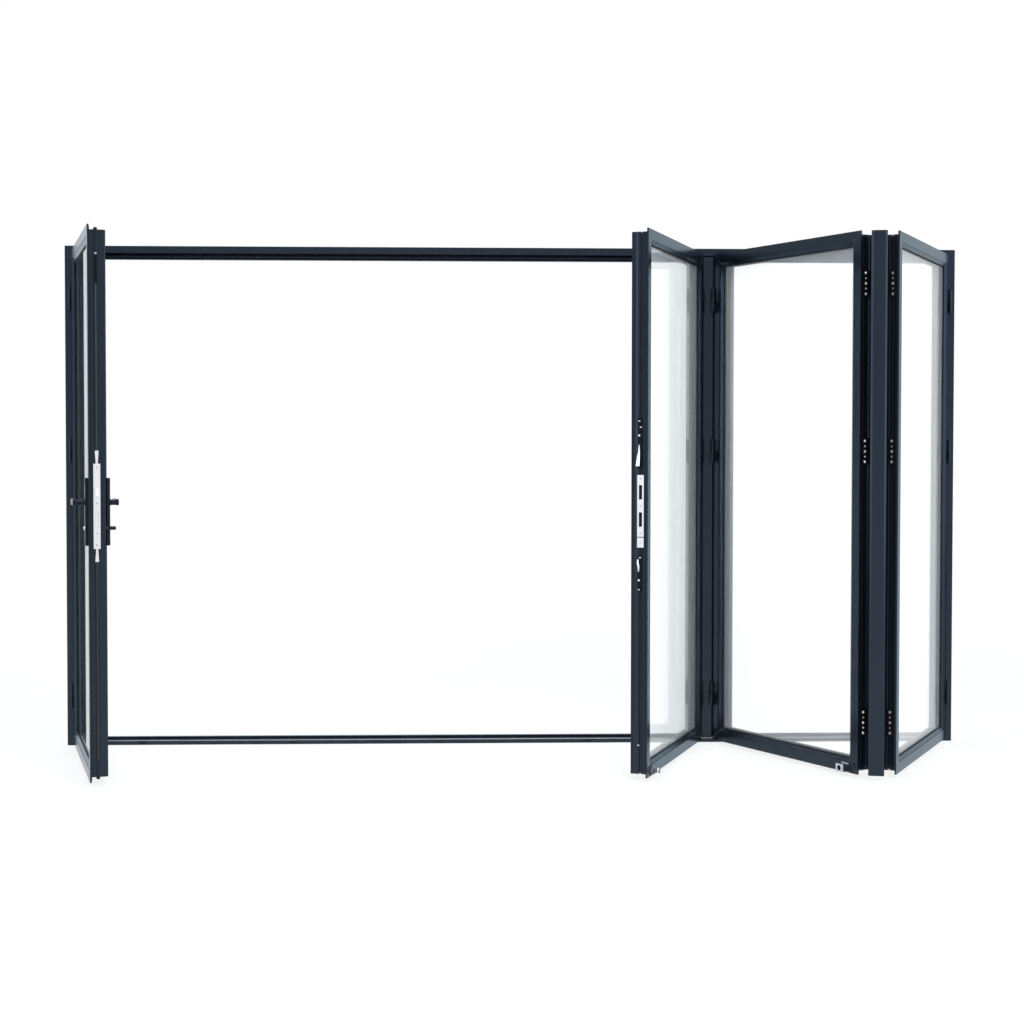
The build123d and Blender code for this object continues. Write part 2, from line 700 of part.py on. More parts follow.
def backplate():
    """Handle backplate against y = 0, standing out towards -Y."""
    outline = Pos(0, (BACKPLATE_UP - BACKPLATE_DOWN) / 2) * RectangleRounded(
        BACKPLATE_WIDTH, BACKPLATE_UP + BACKPLATE_DOWN, BACKPLATE_ROUND
    )
    body = softened(extrude(Plane.XZ * outline, BACKPLATE_THICK))
    bores = Plane.XZ * Circle(LEVER_NECK_RADIUS + FIT_GAP)
    bores += Plane.XZ * Pos(0, -CYLINDER_DROP) * Circle(CYLINDER_RADIUS + FIT_GAP)
    return body - extrude(bores, BACKPLATE_THICK)


def lever(reach):
    """Flat grip on a round neck that leaves y = 0 towards -Y, pointing along -X."""
    neck = extrude(Plane.XZ * Circle(LEVER_NECK_RADIUS), reach - LEVER_THICK / 2)
    outline = Pos((LEVER_TALL - LEVER_LENGTH) / 2, 0) * RectangleRounded(
        LEVER_LENGTH, LEVER_TALL, LEVER_ROUND
    )
    grip = softened(extrude(Plane.XZ * outline, LEVER_THICK))
    return neck + Pos(0, LEVER_THICK - reach, 0) * grip


def thumb_turn():
    """Rounded turn on a short stem, standing out towards -Y."""
    stem = extrude(Plane.XZ * Circle(CYLINDER_RADIUS - FIT_GAP), BACKPLATE_THICK / 2)
    blade = softened(
        extrude(Plane.XZ * SlotOverall(TURN_LENGTH, TURN_TALL), TURN_REACH)
    )
    return stem + Pos(0, -BACKPLATE_THICK / 2, 0) * blade


def make_handles():
    spindle_z = SPINDLE_HEIGHT - LEAF_BOTTOM
    outside = DOOR * Pos(HANDLE_X, 0, spindle_z)
    inside = DOOR * Pos(HANDLE_X, LEAF_DEPTH, spindle_z) * Rot(0, 0, 180)
    write("outer_handle_plate", outside, backplate())
    write("inner_handle_plate", inside, backplate())
    spindle = Pos(0, LEAF_DEPTH / 2, 0) * Box(
        SPINDLE_SQUARE, LEAF_DEPTH, SPINDLE_SQUARE
    )
    write("outer_lever", outside, lever(OUTER_LEVER_REACH) + spindle)
    write("inner_lever", inside, *flipped([lever(INNER_LEVER_REACH)]))
    outer_end = BACKPLATE_THICK + CYLINDER_PROUD
    barrel_depth = outer_end + LEAF_DEPTH + BACKPLATE_THICK / 4
    barrel = extrude(Plane.XZ * Circle(CYLINDER_RADIUS), -barrel_depth)
    write("lock_cylinder", outside, Pos(0, -outer_end, -CYLINDER_DROP) * barrel)
    turn = Pos(0, -BACKPLATE_THICK / 2, -CYLINDER_DROP) * thumb_turn()
    write("thumb_turn", inside, turn)


# Catch that holds the folded leaves together: a stud on one leaf, a keeper on the next
def make_catches():
    on_rail = Pos(0, 0, SASH_FACE / 2 - GLAZING_REBATE / 2)
    plate_tall = REBATE_LINE - CATCH_PLATE_THICK
    plate = extrude(
        Plane.XZ * Rectangle(CATCH_PLATE_WIDTH, plate_tall), CATCH_PLATE_THICK
    )
    boss = extrude(Plane.XZ * Circle(CATCH_BOSS_RADIUS), CATCH_BOSS_REACH)
    stud = softened(extrude(Plane.XZ * Circle(CATCH_RADIUS), CATCH_REACH))
    write("leaf_catch", LEAF2 * Pos(CATCH_INSET, 0, 0) * on_rail, plate + boss + stud)

    housing = softened(
        extrude(Plane.XZ * Rectangle(CATCH_PLATE_WIDTH, KEEPER_TALL), CATCH_REACH)
    )
    bore = Pos(0, -CATCH_PLATE_THICK, 0) * extrude(
        Plane.XZ * Circle(CATCH_RADIUS + FIT_GAP), CATCH_REACH
    )
    at_keeper = LEAF3 * Pos(LEAF_WIDTH - CATCH_INSET, 0, 0) * on_rail
    write("catch_keeper", at_keeper, plate + housing - bore)


# Roller in the sill's channel and guide in the head's, on the track post
def make_track_guides():
    mid_y = (NIB_DEPTH + STOP_FRONT) / 2 + FRONT
    wheel = Pos(0, 0, SILL_FLOOR + ROLLER_RADIUS) * extrude(
        Plane.XZ * Circle(ROLLER_RADIUS), ROLLER_WIDTH / 2, both=True
    )
    fork = Pos(0, 0, (POST_BOTTOM + SILL_FLOOR + ROLLER_RADIUS) / 2) * Box(
        POST_STEM, ROLLER_WIDTH / 2, POST_BOTTOM - SILL_FLOOR - ROLLER_RADIUS
    )
    roller = wheel + fork
    guide_top = FRAME_HEIGHT - REBATE_FLOOR - SWING_GAP
    guide = upright(Circle(GUIDE_RADIUS), POST_TOP, guide_top)
    guide += upright(Rectangle(POST_STEM, POST_STEM), POST_TOP, POST_TOP + GUIDE_PLATE)
    at_post = Pos(track_middle_x, mid_y, 0)
    write("track_guides", at_post, roller, guide)


make_frame()
DOOR_BARS = ("hinge_stile", "top_rail", "lock_stile", "bottom_rail")
make_leaf("door", DOOR, DOOR_BARS, "hinge_stile", lock_bar="lock_stile")
LEAF_BARS = ("left_stile", "top_rail", "right_stile", "bottom_rail")
make_leaf("leaf2", LEAF2, LEAF_BARS, "right_stile")
make_leaf("leaf3", LEAF3, LEAF_BARS, "left_stile")
make_leaf("leaf4", LEAF4, LEAF_BARS, "right_stile")
write("leaf2_edge_profile", LEAF2, *edge_profiles())
write("leaf3_edge_profile", LEAF3 * Pos(LEAF_WIDTH, 0, 0), *flipped(edge_profiles()))
write("leaf4_edge_profile", LEAF4, *edge_profiles())
make_posts()
make_jamb_hinges()
make_track_post_hinges()
make_front_post_hinges()
make_lock()
make_handles()
make_catches()
make_track_guides()
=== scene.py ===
import json
from math import radians

import bmesh
import bpy
from mathutils import Matrix, Vector


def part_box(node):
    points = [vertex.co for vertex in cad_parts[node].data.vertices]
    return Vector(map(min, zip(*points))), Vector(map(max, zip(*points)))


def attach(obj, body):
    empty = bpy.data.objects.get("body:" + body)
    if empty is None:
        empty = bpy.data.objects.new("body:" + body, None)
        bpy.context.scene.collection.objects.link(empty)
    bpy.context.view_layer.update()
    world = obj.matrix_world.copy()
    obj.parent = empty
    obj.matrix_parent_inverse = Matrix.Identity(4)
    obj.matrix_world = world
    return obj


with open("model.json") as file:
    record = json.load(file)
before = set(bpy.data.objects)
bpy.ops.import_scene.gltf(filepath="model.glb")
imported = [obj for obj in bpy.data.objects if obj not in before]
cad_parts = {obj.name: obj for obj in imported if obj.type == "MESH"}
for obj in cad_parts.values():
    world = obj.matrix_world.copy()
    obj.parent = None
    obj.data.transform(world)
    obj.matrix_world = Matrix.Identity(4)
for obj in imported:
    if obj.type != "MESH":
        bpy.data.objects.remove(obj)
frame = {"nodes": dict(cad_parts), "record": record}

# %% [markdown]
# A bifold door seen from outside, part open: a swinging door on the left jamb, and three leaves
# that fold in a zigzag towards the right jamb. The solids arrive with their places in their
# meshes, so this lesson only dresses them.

scene = bpy.context.scene
nodes = frame["nodes"]
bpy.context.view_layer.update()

# %% [markdown]
# The camera stands about seven metres away, a little left of the middle, at chest height. The
# place and the lens were solved from the corners of the frame and the edges of the leaves. The
# horizon lies above the picture's middle: the camera looks down a little, and a small lens shift
# does the rest, so that the uprights hardly lean.

# %% Camera
CAMERA_PLACE = (-0.249, -6.944, 1.204)
CAMERA_YAW = 2.012
CAMERA_PITCH = -1.579
CAMERA_ROLL = 0.05
CAMERA_LENS, SENSOR_WIDTH = 59.885, 36.0
CAMERA_SHIFT_Y = -0.0173

camera_data = bpy.data.cameras.new("camera")
camera_data.lens = CAMERA_LENS
camera_data.sensor_width = SENSOR_WIDTH
camera_data.shift_y = CAMERA_SHIFT_Y
camera = bpy.data.objects.new("camera", camera_data)
camera.location = CAMERA_PLACE
yaw = Matrix.Rotation(radians(-CAMERA_YAW), 3, "Z")
pitch = Matrix.Rotation(radians(90 + CAMERA_PITCH), 3, "X")
roll = Matrix.Rotation(radians(CAMERA_ROLL), 3, "Z")
camera.rotation_euler = (yaw @ pitch @ roll).to_euler()
scene.collection.objects.link(camera)
scene.camera = camera
print("camera at", CAMERA_PLACE, "lens", CAMERA_LENS)

# %% [markdown]
# The door stands on a plain pale floor in a bright room with no walls in sight. Dark paint and
# clear glass show mostly what they reflect, so the room matters more than the lamps. The world
# and the floor look white to the camera, to reflections and through the glass. The floor keeps
# a soft shadow near the door and fades to plain white a few metres away, so that no horizon
# cuts the picture.

# %% Floor and world
FLOOR_HALF = 40.0
FLOOR_COLOUR = (0.86, 0.87, 0.88, 1)
SHADOW_NEAR, SHADOW_FAR = 1.2, 5.0
NEAR_WHITENESS = 0.8
ROOM_COLOUR, ROOM_STRENGTH = (0.86, 0.93, 1.0, 1), 0.65
WHITE = (1, 1, 1, 1)


def new_material(name):
    """An empty node material and its output node."""
    material = bpy.data.materials.new(name)
    material.use_nodes = True
    tree = material.node_tree
    tree.nodes.clear()
    return material, tree, tree.nodes.new("ShaderNodeOutputMaterial")


def sum_of(tree, operation, first, second):
    """A math node on a socket and either a socket or a number."""
    node = tree.nodes.new("ShaderNodeMath")
    node.operation = operation
    tree.links.new(first, node.inputs[0])
    if isinstance(second, (int, float)):
        node.inputs[1].default_value = second
    else:
        tree.links.new(second, node.inputs[1])
    return node.outputs[0]


def remap(tree, value, low, high, to_low, to_high):
    """The value stretched from one range to another, clamped at its ends."""
    node = tree.nodes.new("ShaderNodeMapRange")
    for socket, number in zip(node.inputs[1:5], (low, high, to_low, to_high)):
        socket.default_value = number
    tree.links.new(value, node.inputs[0])
    return node.outputs[0]


def looked_at(tree):
    """1 where the camera looks, straight, mirrored or through glass; 0 for light on the door."""
    path = tree.nodes.new("ShaderNodeLightPath").outputs
    straight = sum_of(tree, "MAXIMUM", path["Is Camera Ray"], path["Is Transmission Ray"])
    return sum_of(tree, "MAXIMUM", straight, path["Is Glossy Ray"])


floor_paint, tree, out = new_material("pale_floor")
diffuse = tree.nodes.new("ShaderNodeBsdfDiffuse")
diffuse.inputs["Color"].default_value = FLOOR_COLOUR
glow = tree.nodes.new("ShaderNodeEmission")
glow.inputs["Color"].default_value = WHITE
away = tree.nodes.new("ShaderNodeVectorMath")
away.operation = "LENGTH"
tree.links.new(tree.nodes.new("ShaderNodeTexCoord").outputs["Object"], away.inputs[0])
whiteness = remap(tree, away.outputs["Value"], SHADOW_NEAR, SHADOW_FAR, NEAR_WHITENESS, 1.0)
share = sum_of(tree, "MULTIPLY", looked_at(tree), whiteness)
blend = tree.nodes.new("ShaderNodeMixShader")
tree.links.new(share, blend.inputs[0])
tree.links.new(diffuse.outputs[0], blend.inputs[1])
tree.links.new(glow.outputs[0], blend.inputs[2])
tree.links.new(blend.outputs[0], out.inputs["Surface"])

floor_mesh = bpy.data.meshes.new("floor")
corners = [(x * FLOOR_HALF, y * FLOOR_HALF, 0) for x, y in ((-1, -1), (1, -1), (1, 1), (-1, 1))]
floor_mesh.from_pydata(corners, [], [(0, 1, 2, 3)])
floor_mesh.materials.append(floor_paint)
floor = bpy.data.objects.new("floor", floor_mesh)
scene.collection.objects.link(floor)

world = bpy.data.worlds.new("studio")
world.use_nodes = True
tree = world.node_tree
tree.nodes.clear()
world_out = tree.nodes.new("ShaderNodeOutputWorld")
room_light = tree.nodes.new("ShaderNodeBackground")
room_light.inputs["Color"].default_value = ROOM_COLOUR
room_light.inputs["Strength"].default_value = ROOM_STRENGTH
white = tree.nodes.new("ShaderNodeBackground")
white.inputs["Color"].default_value = WHITE
pick = tree.nodes.new("ShaderNodeMixShader")
tree.links.new(looked_at(tree), pick.inputs[0])
tree.links.new(room_light.outputs[0], pick.inputs[1])
tree.links.new(white.outputs[0], pick.inputs[2])
tree.links.new(pick.outputs[0], world_out.inputs["Surface"])
scene.world = world
print("floor", 2 * FLOOR_HALF, "m across, its shadow fades by", SHADOW_FAR, "m")

# %% [markdown]
# The folded leaves and posts read as separate strips only when the faces that look sideways are
# lighter than those that look at the camera. So two large softboxes stand at the sides, one
# lights from above in front, and one from behind. All are large and plain, so the shadows stay
# soft.

# %% Lamps
LAMP_TARGET = Vector((0, -0.4, 1.0))
COOL, PLAIN = (0.82, 0.91, 1.0), (1, 1, 1)


def softbox(name, place, size, watts, tint):
    """A square area lamp that looks at the middle of the door."""
    data = bpy.data.lights.new(name, "AREA")
    data.size = size
    data.energy = watts
    data.color = tint
    lamp = bpy.data.objects.new(name, data)
    lamp.location = place
    lamp.rotation_euler = (LAMP_TARGET - Vector(place)).to_track_quat("-Z", "Y").to_euler()
    scene.collection.objects.link(lamp)


softbox("right_box", (6.0, -4.0, 3.3), 6.0, 250, COOL)
softbox("left_box", (-6.0, -3.5, 3.3), 6.0, 190, COOL)
softbox("top_box", (0.5, -5.0, 6.0), 3.0, 260, PLAIN)
softbox("back_box", (-2.0, 6.0, 5.0), 3.5, 220, COOL)
scene.view_settings.view_transform = "Standard"
print("four softboxes")

# %% [markdown]
# The aluminium is powder coated in a dark blue grey. Such a coat is not smooth: it has a fine
# orange-peel skin, and it varies slightly in gloss. A paler colour in uneven patches, strongest
# low down, is a painted reflection of the pale ground. The black hinges and handles share these
# effects, so they are one shader group with named inputs, placed in each material with its own
# values.

# %% Coated skin, a group that several finishes share
NOISE_DETAIL = 2
NOISE_LOW, NOISE_HIGH = 0.3, 0.7    # most of a noise's values lie between these
REFLECTION_PATCH_SCALE, GLOSS_PATCH_SCALE, PEEL_SCALE = 3, 6, 900
# painted reflection of the pale ground: full at the floor, down to this share at this height
REFLECTION_TOP, REFLECTION_UP_THERE = 1.5, 0.15
REFLECTION_IN_THIN_PATCHES = 0.75
GLOSS_SPREAD = 0.015


def noise(tree, coords, scale):
    """Soft random patches between 0 and 1."""
    node = tree.nodes.new("ShaderNodeTexNoise")
    node.inputs["Scale"].default_value = scale
    node.inputs["Detail"].default_value = NOISE_DETAIL
    tree.links.new(coords, node.inputs["Vector"])
    return node.outputs["Fac"]


def patchy(tree, coords, scale, low, high):
    """Soft random patches between two values."""
    return remap(tree, noise(tree, coords, scale), NOISE_LOW, NOISE_HIGH, low, high)


coated_skin = bpy.data.node_groups.new("coated_skin", "ShaderNodeTree")
for label, kind in (("Coat", "Color"), ("Ground Reflection", "Color"),
                    ("Reflection Amount", "Float"), ("Gloss", "Float")):
    coated_skin.interface.new_socket(label, in_out="INPUT", socket_type="NodeSocket" + kind)
for label, kind in (("Color", "Color"), ("Roughness", "Float"), ("Height", "Float")):
    coated_skin.interface.new_socket(label, in_out="OUTPUT", socket_type="NodeSocket" + kind)
tree = coated_skin
given = tree.nodes.new("NodeGroupInput").outputs
result = tree.nodes.new("NodeGroupOutput").inputs
coords = tree.nodes.new("ShaderNodeTexCoord").outputs["Object"]
apart = tree.nodes.new("ShaderNodeSeparateXYZ")
tree.links.new(coords, apart.inputs[0])
# painted reflection of the pale ground: lighter towards the bottom, in uneven patches
low_down = remap(tree, apart.outputs["Z"], REFLECTION_TOP, 0.0, REFLECTION_UP_THERE, 1.0)
patches = patchy(tree, coords, REFLECTION_PATCH_SCALE, REFLECTION_IN_THIN_PATCHES, 1.0)
reflected_share = sum_of(tree, "MULTIPLY", low_down, patches)
amount = sum_of(tree, "MULTIPLY", reflected_share, given["Reflection Amount"])
with_reflection = tree.nodes.new("ShaderNodeMix")
with_reflection.data_type = "RGBA"
tree.links.new(amount, with_reflection.inputs["Factor"])
tree.links.new(given["Coat"], with_reflection.inputs["A"])
tree.links.new(given["Ground Reflection"], with_reflection.inputs["B"])
tree.links.new(with_reflection.outputs["Result"], result["Color"])
uneven = patchy(tree, coords, GLOSS_PATCH_SCALE, -GLOSS_SPREAD, GLOSS_SPREAD)
tree.links.new(sum_of(tree, "ADD", given["Gloss"], uneven), result["Roughness"])
tree.links.new(noise(tree, coords, PEEL_SCALE), result["Height"])
print("coated_skin has", len(coated_skin.interface.items_tree), "sockets")

# %% [markdown]
# Every coated finish is the shared skin under one Principled shader. The coat of the bars has
# metal flakes in it, so it is partly metallic. For a metal, the specular tint colours what is
# mirrored at a flat angle, and a blue one keeps the bars blue where they are seen edge on.

# %% Coated finishes
PEEL_STRENGTH, PEEL_DEPTH = 0.08, 0.0003
# colours of the painted reflection of the pale ground on the coats
GREY_GROUND_REFLECTION, BLUE_GROUND_REFLECTION = (0.03, 0.03, 0.03), (0.055, 0.066, 0.08)
FLAT_ANGLE_TINT, SKY_TINT = (0.68, 0.82, 0.92), (0.26, 0.36, 0.5)


def coated_finish(name, coat, ground_reflection, reflection_amount, gloss, ior, tint=(1, 1, 1), flake=0.0):
    """A coat with its painted ground reflection; gloss is its roughness, tint its mirror colour,
    flake its metal.
    """
    material, tree, out = new_material(name)
    skin = tree.nodes.new("ShaderNodeGroup")
    skin.node_tree = coated_skin
    skin.inputs["Coat"].default_value = (*coat, 1)
    skin.inputs["Ground Reflection"].default_value = (*ground_reflection, 1)
    skin.inputs["Reflection Amount"].default_value = reflection_amount
    skin.inputs["Gloss"].default_value = gloss
    shader = tree.nodes.new("ShaderNodeBsdfPrincipled")
    shader.inputs["IOR"].default_value = ior
    shader.inputs["Metallic"].default_value = flake
    shader.inputs["Specular Tint"].default_value = (*tint, 1)
    bump = tree.nodes.new("ShaderNodeBump")
    bump.inputs["Strength"].default_value = PEEL_STRENGTH
    bump.inputs["Distance"].default_value = PEEL_DEPTH
    tree.links.new(skin.outputs["Height"], bump.inputs["Height"])
    tree.links.new(skin.outputs["Color"], shader.inputs["Base Color"])
    tree.links.new(skin.outputs["Roughness"], shader.inputs["Roughness"])
    tree.links.new(bump.outputs["Normal"], shader.inputs["Normal"])
    tree.links.new(shader.outputs[0], out.inputs["Surface"])
    return material


finishes = {
    "coated_aluminium": coated_finish("anthracite_coat", (0.015, 0.022, 0.034), BLUE_GROUND_REFLECTION,
                                      0.3, 0.2, 1.45, FLAT_ANGLE_TINT, flake=0.75),
    "hinge_black": coated_finish("hinge_black_coat", (0.004, 0.0045, 0.005), GREY_GROUND_REFLECTION,
                                 0.15, 0.36, 1.3, SKY_TINT),
    "handle_black": coated_finish("handle_black_coat", (0.007, 0.009, 0.013), GREY_GROUND_REFLECTION,
                                  0.15, 0.3, 1.35, SKY_TINT),
    "guide_plastic": coated_finish("guide_nylon", (0.008, 0.008, 0.009), GREY_GROUND_REFLECTION,
                                   0.3, 0.5, 1.4, SKY_TINT),
}
print(sorted(finishes), "are coated")

# %% [markdown]
# The lock plates are brushed steel, the keeper is chrome, and the screws are bright zinc.
# Brushing runs along the plates, so the noise behind the roughness is stretched upright. The
# panes are clear: light that casts shadows passes straight through them, because real glass
# hardly darkens a shadow. So that nothing shows behind the panes of the folding leaves, these
# carry a pale share, a painted reflection of a bright sky, which softens what stands behind. The
# door's pane is seen almost edge on, and stays clear. A low index of refraction keeps the room's
# mirror image in the panes faint.

# %% Metal and glass
BRUSH_STRETCH, BRUSH_SCALE, BRUSH_SPREAD = (1, 1, 0.03), 1500, 0.08
PANE_AND_SKY_REFLECTION_COLOUR, PANE_IOR = (0.99, 1.0, 1.0, 1), 1.1


def bare_metal(name, color, roughness):
    """A metal without a coat, brushed upright."""
    material, tree, out = new_material(name)
    stretch = tree.nodes.new("ShaderNodeMapping")
    stretch.inputs["Scale"].default_value = BRUSH_STRETCH
    tree.links.new(tree.nodes.new("ShaderNodeTexCoord").outputs["Object"], stretch.inputs["Vector"])
    lines = patchy(tree, stretch.outputs[0], BRUSH_SCALE,
                   roughness - BRUSH_SPREAD, roughness + BRUSH_SPREAD)
    shader = tree.nodes.new("ShaderNodeBsdfPrincipled")
    shader.inputs["Base Color"].default_value = (*color, 1)
    shader.inputs["Metallic"].default_value = 1.0
    tree.links.new(lines, shader.inputs["Roughness"])
    tree.links.new(shader.outputs[0], out.inputs["Surface"])
    return material


finishes["satin_steel"] = bare_metal("brushed_steel", (0.7, 0.71, 0.73), 0.42)
finishes["polished_chrome"] = bare_metal("keeper_chrome", (0.5, 0.53, 0.56), 0.12)


def pane_finish(name, clearness):
    """Glass that lets shadow rays pass; what it lacks in clearness is a painted sky reflection."""
    material, tree, out = new_material(name)
    shader = tree.nodes.new("ShaderNodeBsdfPrincipled")
    shader.inputs["Base Color"].default_value = PANE_AND_SKY_REFLECTION_COLOUR
    shader.inputs["Roughness"].default_value = 0.0
    shader.inputs["IOR"].default_value = PANE_IOR
    shader.inputs["Transmission Weight"].default_value = clearness
    through = tree.nodes.new("ShaderNodeMixShader")
    path = tree.nodes.new("ShaderNodeLightPath").outputs
    open_way = tree.nodes.new("ShaderNodeBsdfTransparent")
    tree.links.new(path["Is Shadow Ray"], through.inputs[0])
    tree.links.new(shader.outputs[0], through.inputs[1])
    tree.links.new(open_way.outputs[0], through.inputs[2])
    tree.links.new(through.outputs[0], out.inputs["Surface"])
    return material


# the share of a folding pane that is not clear is a pale painted reflection of a bright sky
finishes["clear_glass"] = pane_finish("folding_pane", 0.93)
own_finishes = {
    "door_glass": pane_finish("door_pane", 1.0),
    "leaf_catch": bare_metal("catch_zinc", (0.16, 0.17, 0.185), 0.4),
}
for part in frame["record"]["subparts"]:
    mesh = nodes[part["node"]].data
    mesh.materials.clear()
    mesh.materials.append(own_finishes.get(part["node"], finishes[part["material_slot"]]))
print({slot: material.name for slot, material in finishes.items()})

# %% [markdown]
# Small pieces are drawn on a leaf as if it stood closed: x along the leaf from its left edge, y
# from the outer face indoors, z up from its lower edge. One table holds each leaf's hinge pin,
# its turn and how far along the leaf the pin is, and a matrix takes a drawn piece to its place.
# Pieces of the swinging door ride on the door's body, and the folding leaves belong to the
# frame's.

# %% Where the leaves stand
LEAF_WIDTH, LEAF_HEIGHT, LEAF_DEPTH = 0.8705, 1.9745, 0.065
LEAF_BOTTOM = 0.0135
GLASS_DEPTH = 0.028
PIN_Y, PIN_OUT = -0.0575, 0.006
LEAVES = {
    "door": (-1.778, -73.9, 0.0),
    "leaf2": (0.773666, 68.7, LEAF_WIDTH),
    "leaf3": (0.807666, -61.7132, 0.0),
    "leaf4": (1.778, 62.2, LEAF_WIDTH),
}
AS_DRAWN = Matrix.Identity(4)


def leaf_place(leaf):
    """From the leaf's own drawing to where the leaf stands."""
    pin_x, turn, along = LEAVES[leaf]
    pin = Matrix.Translation((pin_x, PIN_Y, 0)) @ Matrix.Rotation(radians(turn), 4, "Z")
    return pin @ Matrix.Translation((-along, PIN_OUT, LEAF_BOTTOM))


def united(name, pieces):
    """Meshes with the same finish as one, with that finish in its only slot."""
    whole = bmesh.new()
    for piece in pieces:
        whole.from_mesh(piece)
    for face in whole.faces:
        face.material_index = 0
    mesh = bpy.data.meshes.new(name)
    whole.to_mesh(mesh)
    whole.free()
    mesh.materials.append(next(finish for finish in pieces[0].materials if finish))
    return mesh


def show(name, source, places, body):
    """One piece with a copy of the source at each place; it rides on a body and takes a slot."""
    copies = [source.copy() for place in places]
    for copy, place in zip(copies, places):
        copy.transform(place)
    piece = bpy.data.objects.new(name, united(name, copies))
    for copy in copies:
        bpy.data.meshes.remove(copy)
    scene.collection.objects.link(piece)
    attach(piece, body)


def show_on_leaf(name, source, leaf, spots):
    """A piece with a copy of the source at each spot of one leaf's drawing."""
    places = [leaf_place(leaf) @ spot for spot in spots]
    show(name, source, places, "door" if leaf == "door" else "frame")


for leaf in LEAVES:
    low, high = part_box(leaf + "_glass")
    drawn = leaf_place(leaf) @ Vector((LEAF_WIDTH / 2, GLASS_DEPTH, LEAF_HEIGHT / 2))
    print(leaf, "glass is off its drawing by", (drawn - (Vector(low) + Vector(high)) / 2).length)

# %% [markdown]
# Rubber seals, spacer bars, rods and ribs all are one small section drawn along a path, as a
# maker would push rubber out of a die. A curve with a bevel could do it, but a Geometry Nodes
# tree keeps the section's sizes as named inputs, so one tree serves them all. Paths are drawn
# flat and stood upright when they are placed. The tree rounds the path's corners and the
# section's own corners.

# %% A tree that draws a section along a path
UPRIGHT = Matrix.Rotation(radians(90), 4, "X")
PATH_CORNER_STEPS, SECTION_CORNER_STEPS = 4, 3


def new_tree(name, sizes):
    """A geometry node tree with a shape going in, named sizes, and a mesh coming out."""
    tree = bpy.data.node_groups.new(name, "GeometryNodeTree")
    tree.interface.new_socket("Shape", in_out="INPUT", socket_type="NodeSocketGeometry")
    for label, kind in sizes.items():
        tree.interface.new_socket(label, in_out="INPUT", socket_type="NodeSocket" + kind)
    tree.interface.new_socket("Mesh", in_out="OUTPUT", socket_type="NodeSocketGeometry")
    return tree, tree.nodes.new("NodeGroupInput").outputs, tree.nodes.new("NodeGroupOutput").inputs


def finish_tree(tree, shape, finish, result):
    """Real faces instead of instances, and their material, at the end of a tree."""
    real = tree.nodes.new("GeometryNodeRealizeInstances")
    paint = tree.nodes.new("GeometryNodeSetMaterial")
    tree.links.new(shape, real.inputs[0])
    tree.links.new(real.outputs[0], paint.inputs["Geometry"])
    tree.links.new(finish, paint.inputs["Material"])
    tree.links.new(paint.outputs[0], result)


def rounded(tree, curve, radius, count):
    """A curve with round corners."""
    node = tree.nodes.new("GeometryNodeFilletCurve")
    node.mode = "POLY"
    node.inputs["Count"].default_value = count
    node.inputs["Limit Radius"].default_value = True
    tree.links.new(curve, node.inputs["Curve"])
    tree.links.new(radius, node.inputs["Radius"])
    return node.outputs[0]


strip_tree, given, made = new_tree("strip_along_path", {
    "Across": "Float", "Thick": "Float", "Round": "Float", "Corner": "Float", "Finish": "Material"})
to_curve = strip_tree.nodes.new("GeometryNodeMeshToCurve")
strip_tree.links.new(given["Shape"], to_curve.inputs["Mesh"])
level = strip_tree.nodes.new("GeometryNodeSetCurveNormal")
level.mode = "Z_UP"
smooth_path = rounded(strip_tree, to_curve.outputs[0], given["Corner"], PATH_CORNER_STEPS)
strip_tree.links.new(smooth_path, level.inputs["Curve"])
section = strip_tree.nodes.new("GeometryNodeCurvePrimitiveQuadrilateral")
strip_tree.links.new(given["Across"], section.inputs["Width"])
strip_tree.links.new(given["Thick"], section.inputs["Height"])
sweep = strip_tree.nodes.new("GeometryNodeCurveToMesh")
sweep.inputs["Fill Caps"].default_value = True
strip_tree.links.new(level.outputs[0], sweep.inputs["Curve"])
smooth_section = rounded(strip_tree, section.outputs[0], given["Round"], SECTION_CORNER_STEPS)
strip_tree.links.new(smooth_section, sweep.inputs["Profile Curve"])
finish_tree(strip_tree, sweep.outputs[0], given["Finish"], made["Mesh"])


def grown(tree, shape, **sizes):
    """The tree's mesh for one shape and one set of sizes, as plain data."""
    holder = bpy.data.objects.new("holder", shape)
    scene.collection.objects.link(holder)
    modifier = holder.modifiers.new("grow", "NODES")
    modifier.node_group = tree
    for item in tree.interface.items_tree:
        if item.in_out == "INPUT" and item.name in sizes:
            modifier[item.identifier] = sizes[item.name]
    graph = bpy.context.evaluated_depsgraph_get()
    mesh = bpy.data.meshes.new_from_object(holder.evaluated_get(graph))
    holder.modifiers.remove(modifier)
    bpy.data.objects.remove(holder)
    return mesh


def flat_path(points, closed=False):
    """A path of straight edges, drawn flat."""
    edges = [(i, i + 1) for i in range(len(points) - 1)]
    if closed:
        edges.append((len(points) - 1, 0))
    path = bpy.data.meshes.new("path")
    path.from_pydata([(x, y, 0) for x, y in points], edges, [])
    return path


def leaf_loop(inset):
    """A closed path round a leaf, so far in from its edges."""
    right, top = LEAF_WIDTH - inset, LEAF_HEIGHT - inset
    return flat_path([(inset, inset), (right, inset), (right, top), (inset, top)], closed=True)


def spans(mesh):
    """How far a mesh reaches along x, y and z."""
    sides = zip(*(vertex.co for vertex in mesh.vertices))
    return [round(max(side) - min(side), 4) for side in sides]


nylon = finishes["guide_plastic"]
trial = grown(strip_tree, flat_path([(0, 0), (1, 0)]), Across=0.02, Thick=0.005, Round=0.001,
              Corner=0.0, Finish=nylon)
print("a trial strip spans", spans(trial), "with", len(trial.polygons), "faces")
